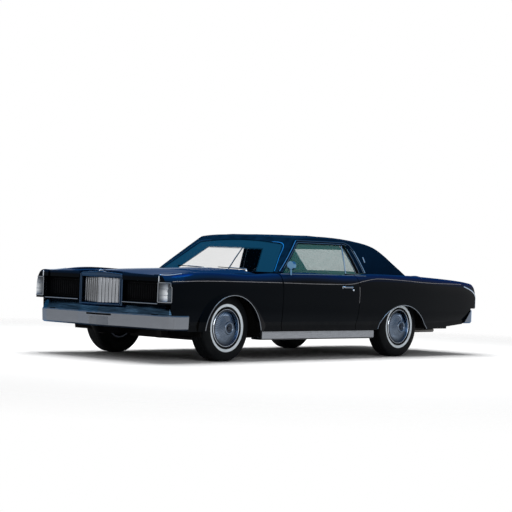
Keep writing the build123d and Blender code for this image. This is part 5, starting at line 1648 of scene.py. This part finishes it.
# battery, wiper motor and heater box; then the booster and clamps; then the washer bottle
bay = {
    "booster": [(0.0, 0.0004), (0.0, 0.05), (0.02, 0.105), (0.05, 0.11), (0.055, 0.114), (0.06, 0.11),
                (0.085, 0.10)],
    "cells": [(0.0, 0.013), (0.006, 0.012), (0.008, 0.0004)],
    "terminal": [(0.0, 0.012), (0.014, 0.010), (0.016, 0.0004)],
    "bottleCap": [(0.0, 0.022), (0.016, 0.021), (0.018, 0.0004)],
}
mould = Mould()
mould.slab((0.50, -2.37, 0.605), (0.69, -2.20, 0.79), 0.008)
for x in spread(0.53, 0.66, 5):
    mould.turned(bay["cells"], (x, -2.285, 0.79), "Z", 14)
mould.slab((0.40, -1.245, 0.79), (0.46, -1.125, 0.845), 0.01)
mould.slab((-0.53, -1.19, 0.60), (-0.24, -1.075, 0.79), 0.02)
mould.tone = 1
mould.turned(bay["booster"], (0.43, -1.165, 0.775), "Y", 40)
for x in (0.52, 0.67):
    mould.turned(bay["terminal"], (x, -2.235, 0.79), "Z", 14)
mould.tube([(0.495, -2.285, 0.80), (0.695, -2.285, 0.80)], 0.004, 6)
mould.tone = 2
mould.slab((-0.68, -2.36, 0.605), (-0.54, -2.24, 0.79), 0.018)
mould.turned(bay["bottleCap"], (-0.61, -2.30, 0.79), "Z", 20)
mould.piece("bayFittings", [blackTrim, bareSteel, plateMetal], "dash_plastic")

# sheet metal that closes the bay and the space behind the bumper
apron = {"front": -2.60, "arch": -2.172, "archBack": -1.268, "firewall": -1.078, "side": 0.765, "shelf": 0.60,
         "board": -2.422}
mould = Mould()
front, arch, edge = apron["front"], apron["arch"], apron["side"]
archBack, firewall = apron["archBack"], apron["firewall"]
for sign in (-1, 1):
    x = sign * edge
    for y0, y1 in ((front + 0.182, arch), (archBack, firewall)):
        mould.slab((x - 0.0015, y0, 0.36), (x + 0.0015, y1, 0.85), 0.001)
        for z in spread(0.44, 0.68, 2):
            mould.tube([(x - sign * 0.002, y0 + 0.02, z), (x - sign * 0.002, y1 - 0.02, z)], 0.005, 6)
    for one, other in (
        ((0.45, front + 0.13, apron["shelf"] - 0.003), (edge, arch - 0.002, apron["shelf"])),
        ((0.45, archBack + 0.002, 0.50), (edge, firewall, 0.503)),
        ((0.345, apron["board"], 0.36), (0.80, apron["board"] + 0.003, 0.84)),
        ((edge, front, 0.42), (0.94, arch - 0.002, 0.423)),
    ):
        mould.slab(*onSide(sign, one, other), 0.001)
mould.slab((-0.76, front, 0.385), (0.76, -2.40, 0.388), 0.001)
mould.slab((-0.76, -2.424, 0.828), (0.76, -2.376, 0.842), 0.004)
mould.piece("bayAprons", deadener, "underbody")
print("engine bay made")


def innerPanel(name, node, wide, front, back, ribs):
    # a pressed panel under a lid, with a raised border and cross ribs
    skin, rows = Skin(node), []
    across, along = 56, 60
    for j, y in enumerate(spread(front, back, along)):
        row, v = [], 2 * (y - front) / (back - front) - 1
        for i, x in enumerate(spread(-wide, wide, across)):
            found = skin.fromBelow(x, y, 0.55)
            raised = abs(x) / wide > 0.86 or abs(v) > 0.86
            raised = raised or any(abs(x / wide - slope * v - shift) < 0.07 for slope, shift in ribs)
            edge = i in (0, across) or j in (0, along)
            row.append(found and found[0] - Vector((0, 0, 0.001 if edge else 0.014 if raised else 0.005)))
        if all(row):
            rows.append(row)
    made = Mould()
    made.sheet(rows)
    made.piece(name, deadener, "underbody", bodyOf[node], crease=50)


# ribs as (slope, shift) of their lines across the panel
innerPanel("hoodInner", "hood", 0.70, -2.56, -1.09, ((0.8, 0.0), (-0.8, 0.0)))
innerPanel("trunkLidInner", "trunk_lid", 0.62, 1.70, 2.56, ((0.0, 0.0), (0.0, 0.45), (0.0, -0.45)))

lining = {"front": 1.70, "back": 2.645, "floor": 0.388, "top": 0.86, "board": 0.722}
mould = Mould()
for sign in (-1, 1):
    rows = []
    for y in spread(lining["front"], lining["back"], 24):
        row = []
        for k, z in enumerate(spread(lining["floor"], lining["top"], 8)):
            x = lining["board"] + 0.003 * sin(y * 9) * k / 8 - 0.018 * (1 - k / 8) ** 2
            row.append((sign * x, y, z))
        rows.append(row)
    mould.sheet(rows)
mould.slab((-0.70, 2.636, 0.397), (0.70, 2.640, 0.60), 0.001)
mould.piece("trunkLining", carpet, "dash_plastic", crease=60)
mould = Mould()
striker = [(-0.012, 0.0004), (-0.012, 0.02), (0.0, 0.024), (0.02, 0.024), (0.02, 0.0004)]
mould.turned(striker, (0.0, 2.62, 0.565), "Z", 20)
mould.slab((-0.03, 2.60, 0.55), (0.03, 2.635, 0.562), 0.003)
mould.piece("lidStriker", bareSteel, "frame_steel")
print("trunk lined")

room = {
    "sky": 0.3, "floor": 9.0,
    "lamps": {"topLamp": ((-1.0, 0.2, 8.0), 7.0, 1320.0), "sideLamp": ((9.0, -7.0, 5.0), 5.0, 297.0)},
    "camera": (13.151, -15.096, 1.102), "aim": (-0.037, -0.260, 1.115), "roll": 2.1, "lens": 122.3,
}
scene = bpy.context.scene


def makeSky():
    # pale light all round, which the camera, mirrors and glass see as white
    scene.world = bpy.data.worlds.new("plainRoom")
    sky = Shading(scene.world)
    camera, glossy, through = (sky.node("ShaderNodeLightPath", output=f"Is {ray} Ray")
                               for ray in ("Camera", "Glossy", "Transmission"))
    seen = sky.node("ShaderNodeMath", {"operation": "MAXIMUM"}, {0: camera, 1: glossy})
    seen = sky.node("ShaderNodeMath", {"operation": "MAXIMUM"}, {0: seen, 1: through})
    plain = sky.node("ShaderNodeBackground", None, {"Color": (0.95, 0.97, 1.0, 1), "Strength": room["sky"]})
    backdrop = sky.node("ShaderNodeBackground", None, {"Color": (1, 1, 1, 1), "Strength": 1.0})
    mix = sky.node("ShaderNodeMixShader", None, {0: seen, 1: plain, 2: backdrop})
    fill(sky.tree, sky.tree.nodes["World Output"].inputs["Surface"], mix)


def makeFloor():
    mesh = bpy.data.meshes.new("floor")
    reach = room["floor"]
    mesh.from_pydata([(reach * cos(a), reach * sin(a), 0) for a in turns(96)], [], [tuple(range(96))])
    floor = bpy.data.objects.new("floor", mesh)
    scene.collection.objects.link(floor)
    pale = Finish("paleFloor", baseColor=(0.74, 0.74, 0.74), roughness=0.9, specularIorLevel=0.0)
    x, y, z = pale.axes()
    away = pale.node("ShaderNodeMath", {"operation": "SQRT"}, {0: x * x + y * y})
    mesh.materials.append(pale.feed(alpha=pale.ramp(away / reach, (0.38, white), (0.97, black))))


def aimed(name, data, at, aim):
    # a lamp or camera at one place, looking at another
    made = bpy.data.objects.new(name, data)
    turn = (Vector(aim) - Vector(at)).to_track_quat("-Z", "Y").to_matrix().to_4x4()
    made.matrix_world = Matrix.Translation(at) @ turn
    scene.collection.objects.link(made)
    return made


makeSky()
makeFloor()
for name, (at, size, power) in room["lamps"].items():
    lamp = bpy.data.lights.new(name, "AREA")
    lamp.shape, lamp.size, lamp.energy = "SQUARE", size, power
    aimed(name, lamp, at, (0, 0, 0.5))
lens = bpy.data.cameras.new("camera")
lens.lens, lens.clip_end = room["lens"], 200.0
scene.camera = aimed("camera", lens, room["camera"], room["aim"])
scene.camera.matrix_world @= Matrix.Rotation(radians(room["roll"]), 4, "Z")
scene.view_settings.view_transform = "Standard"
print("room and camera made")
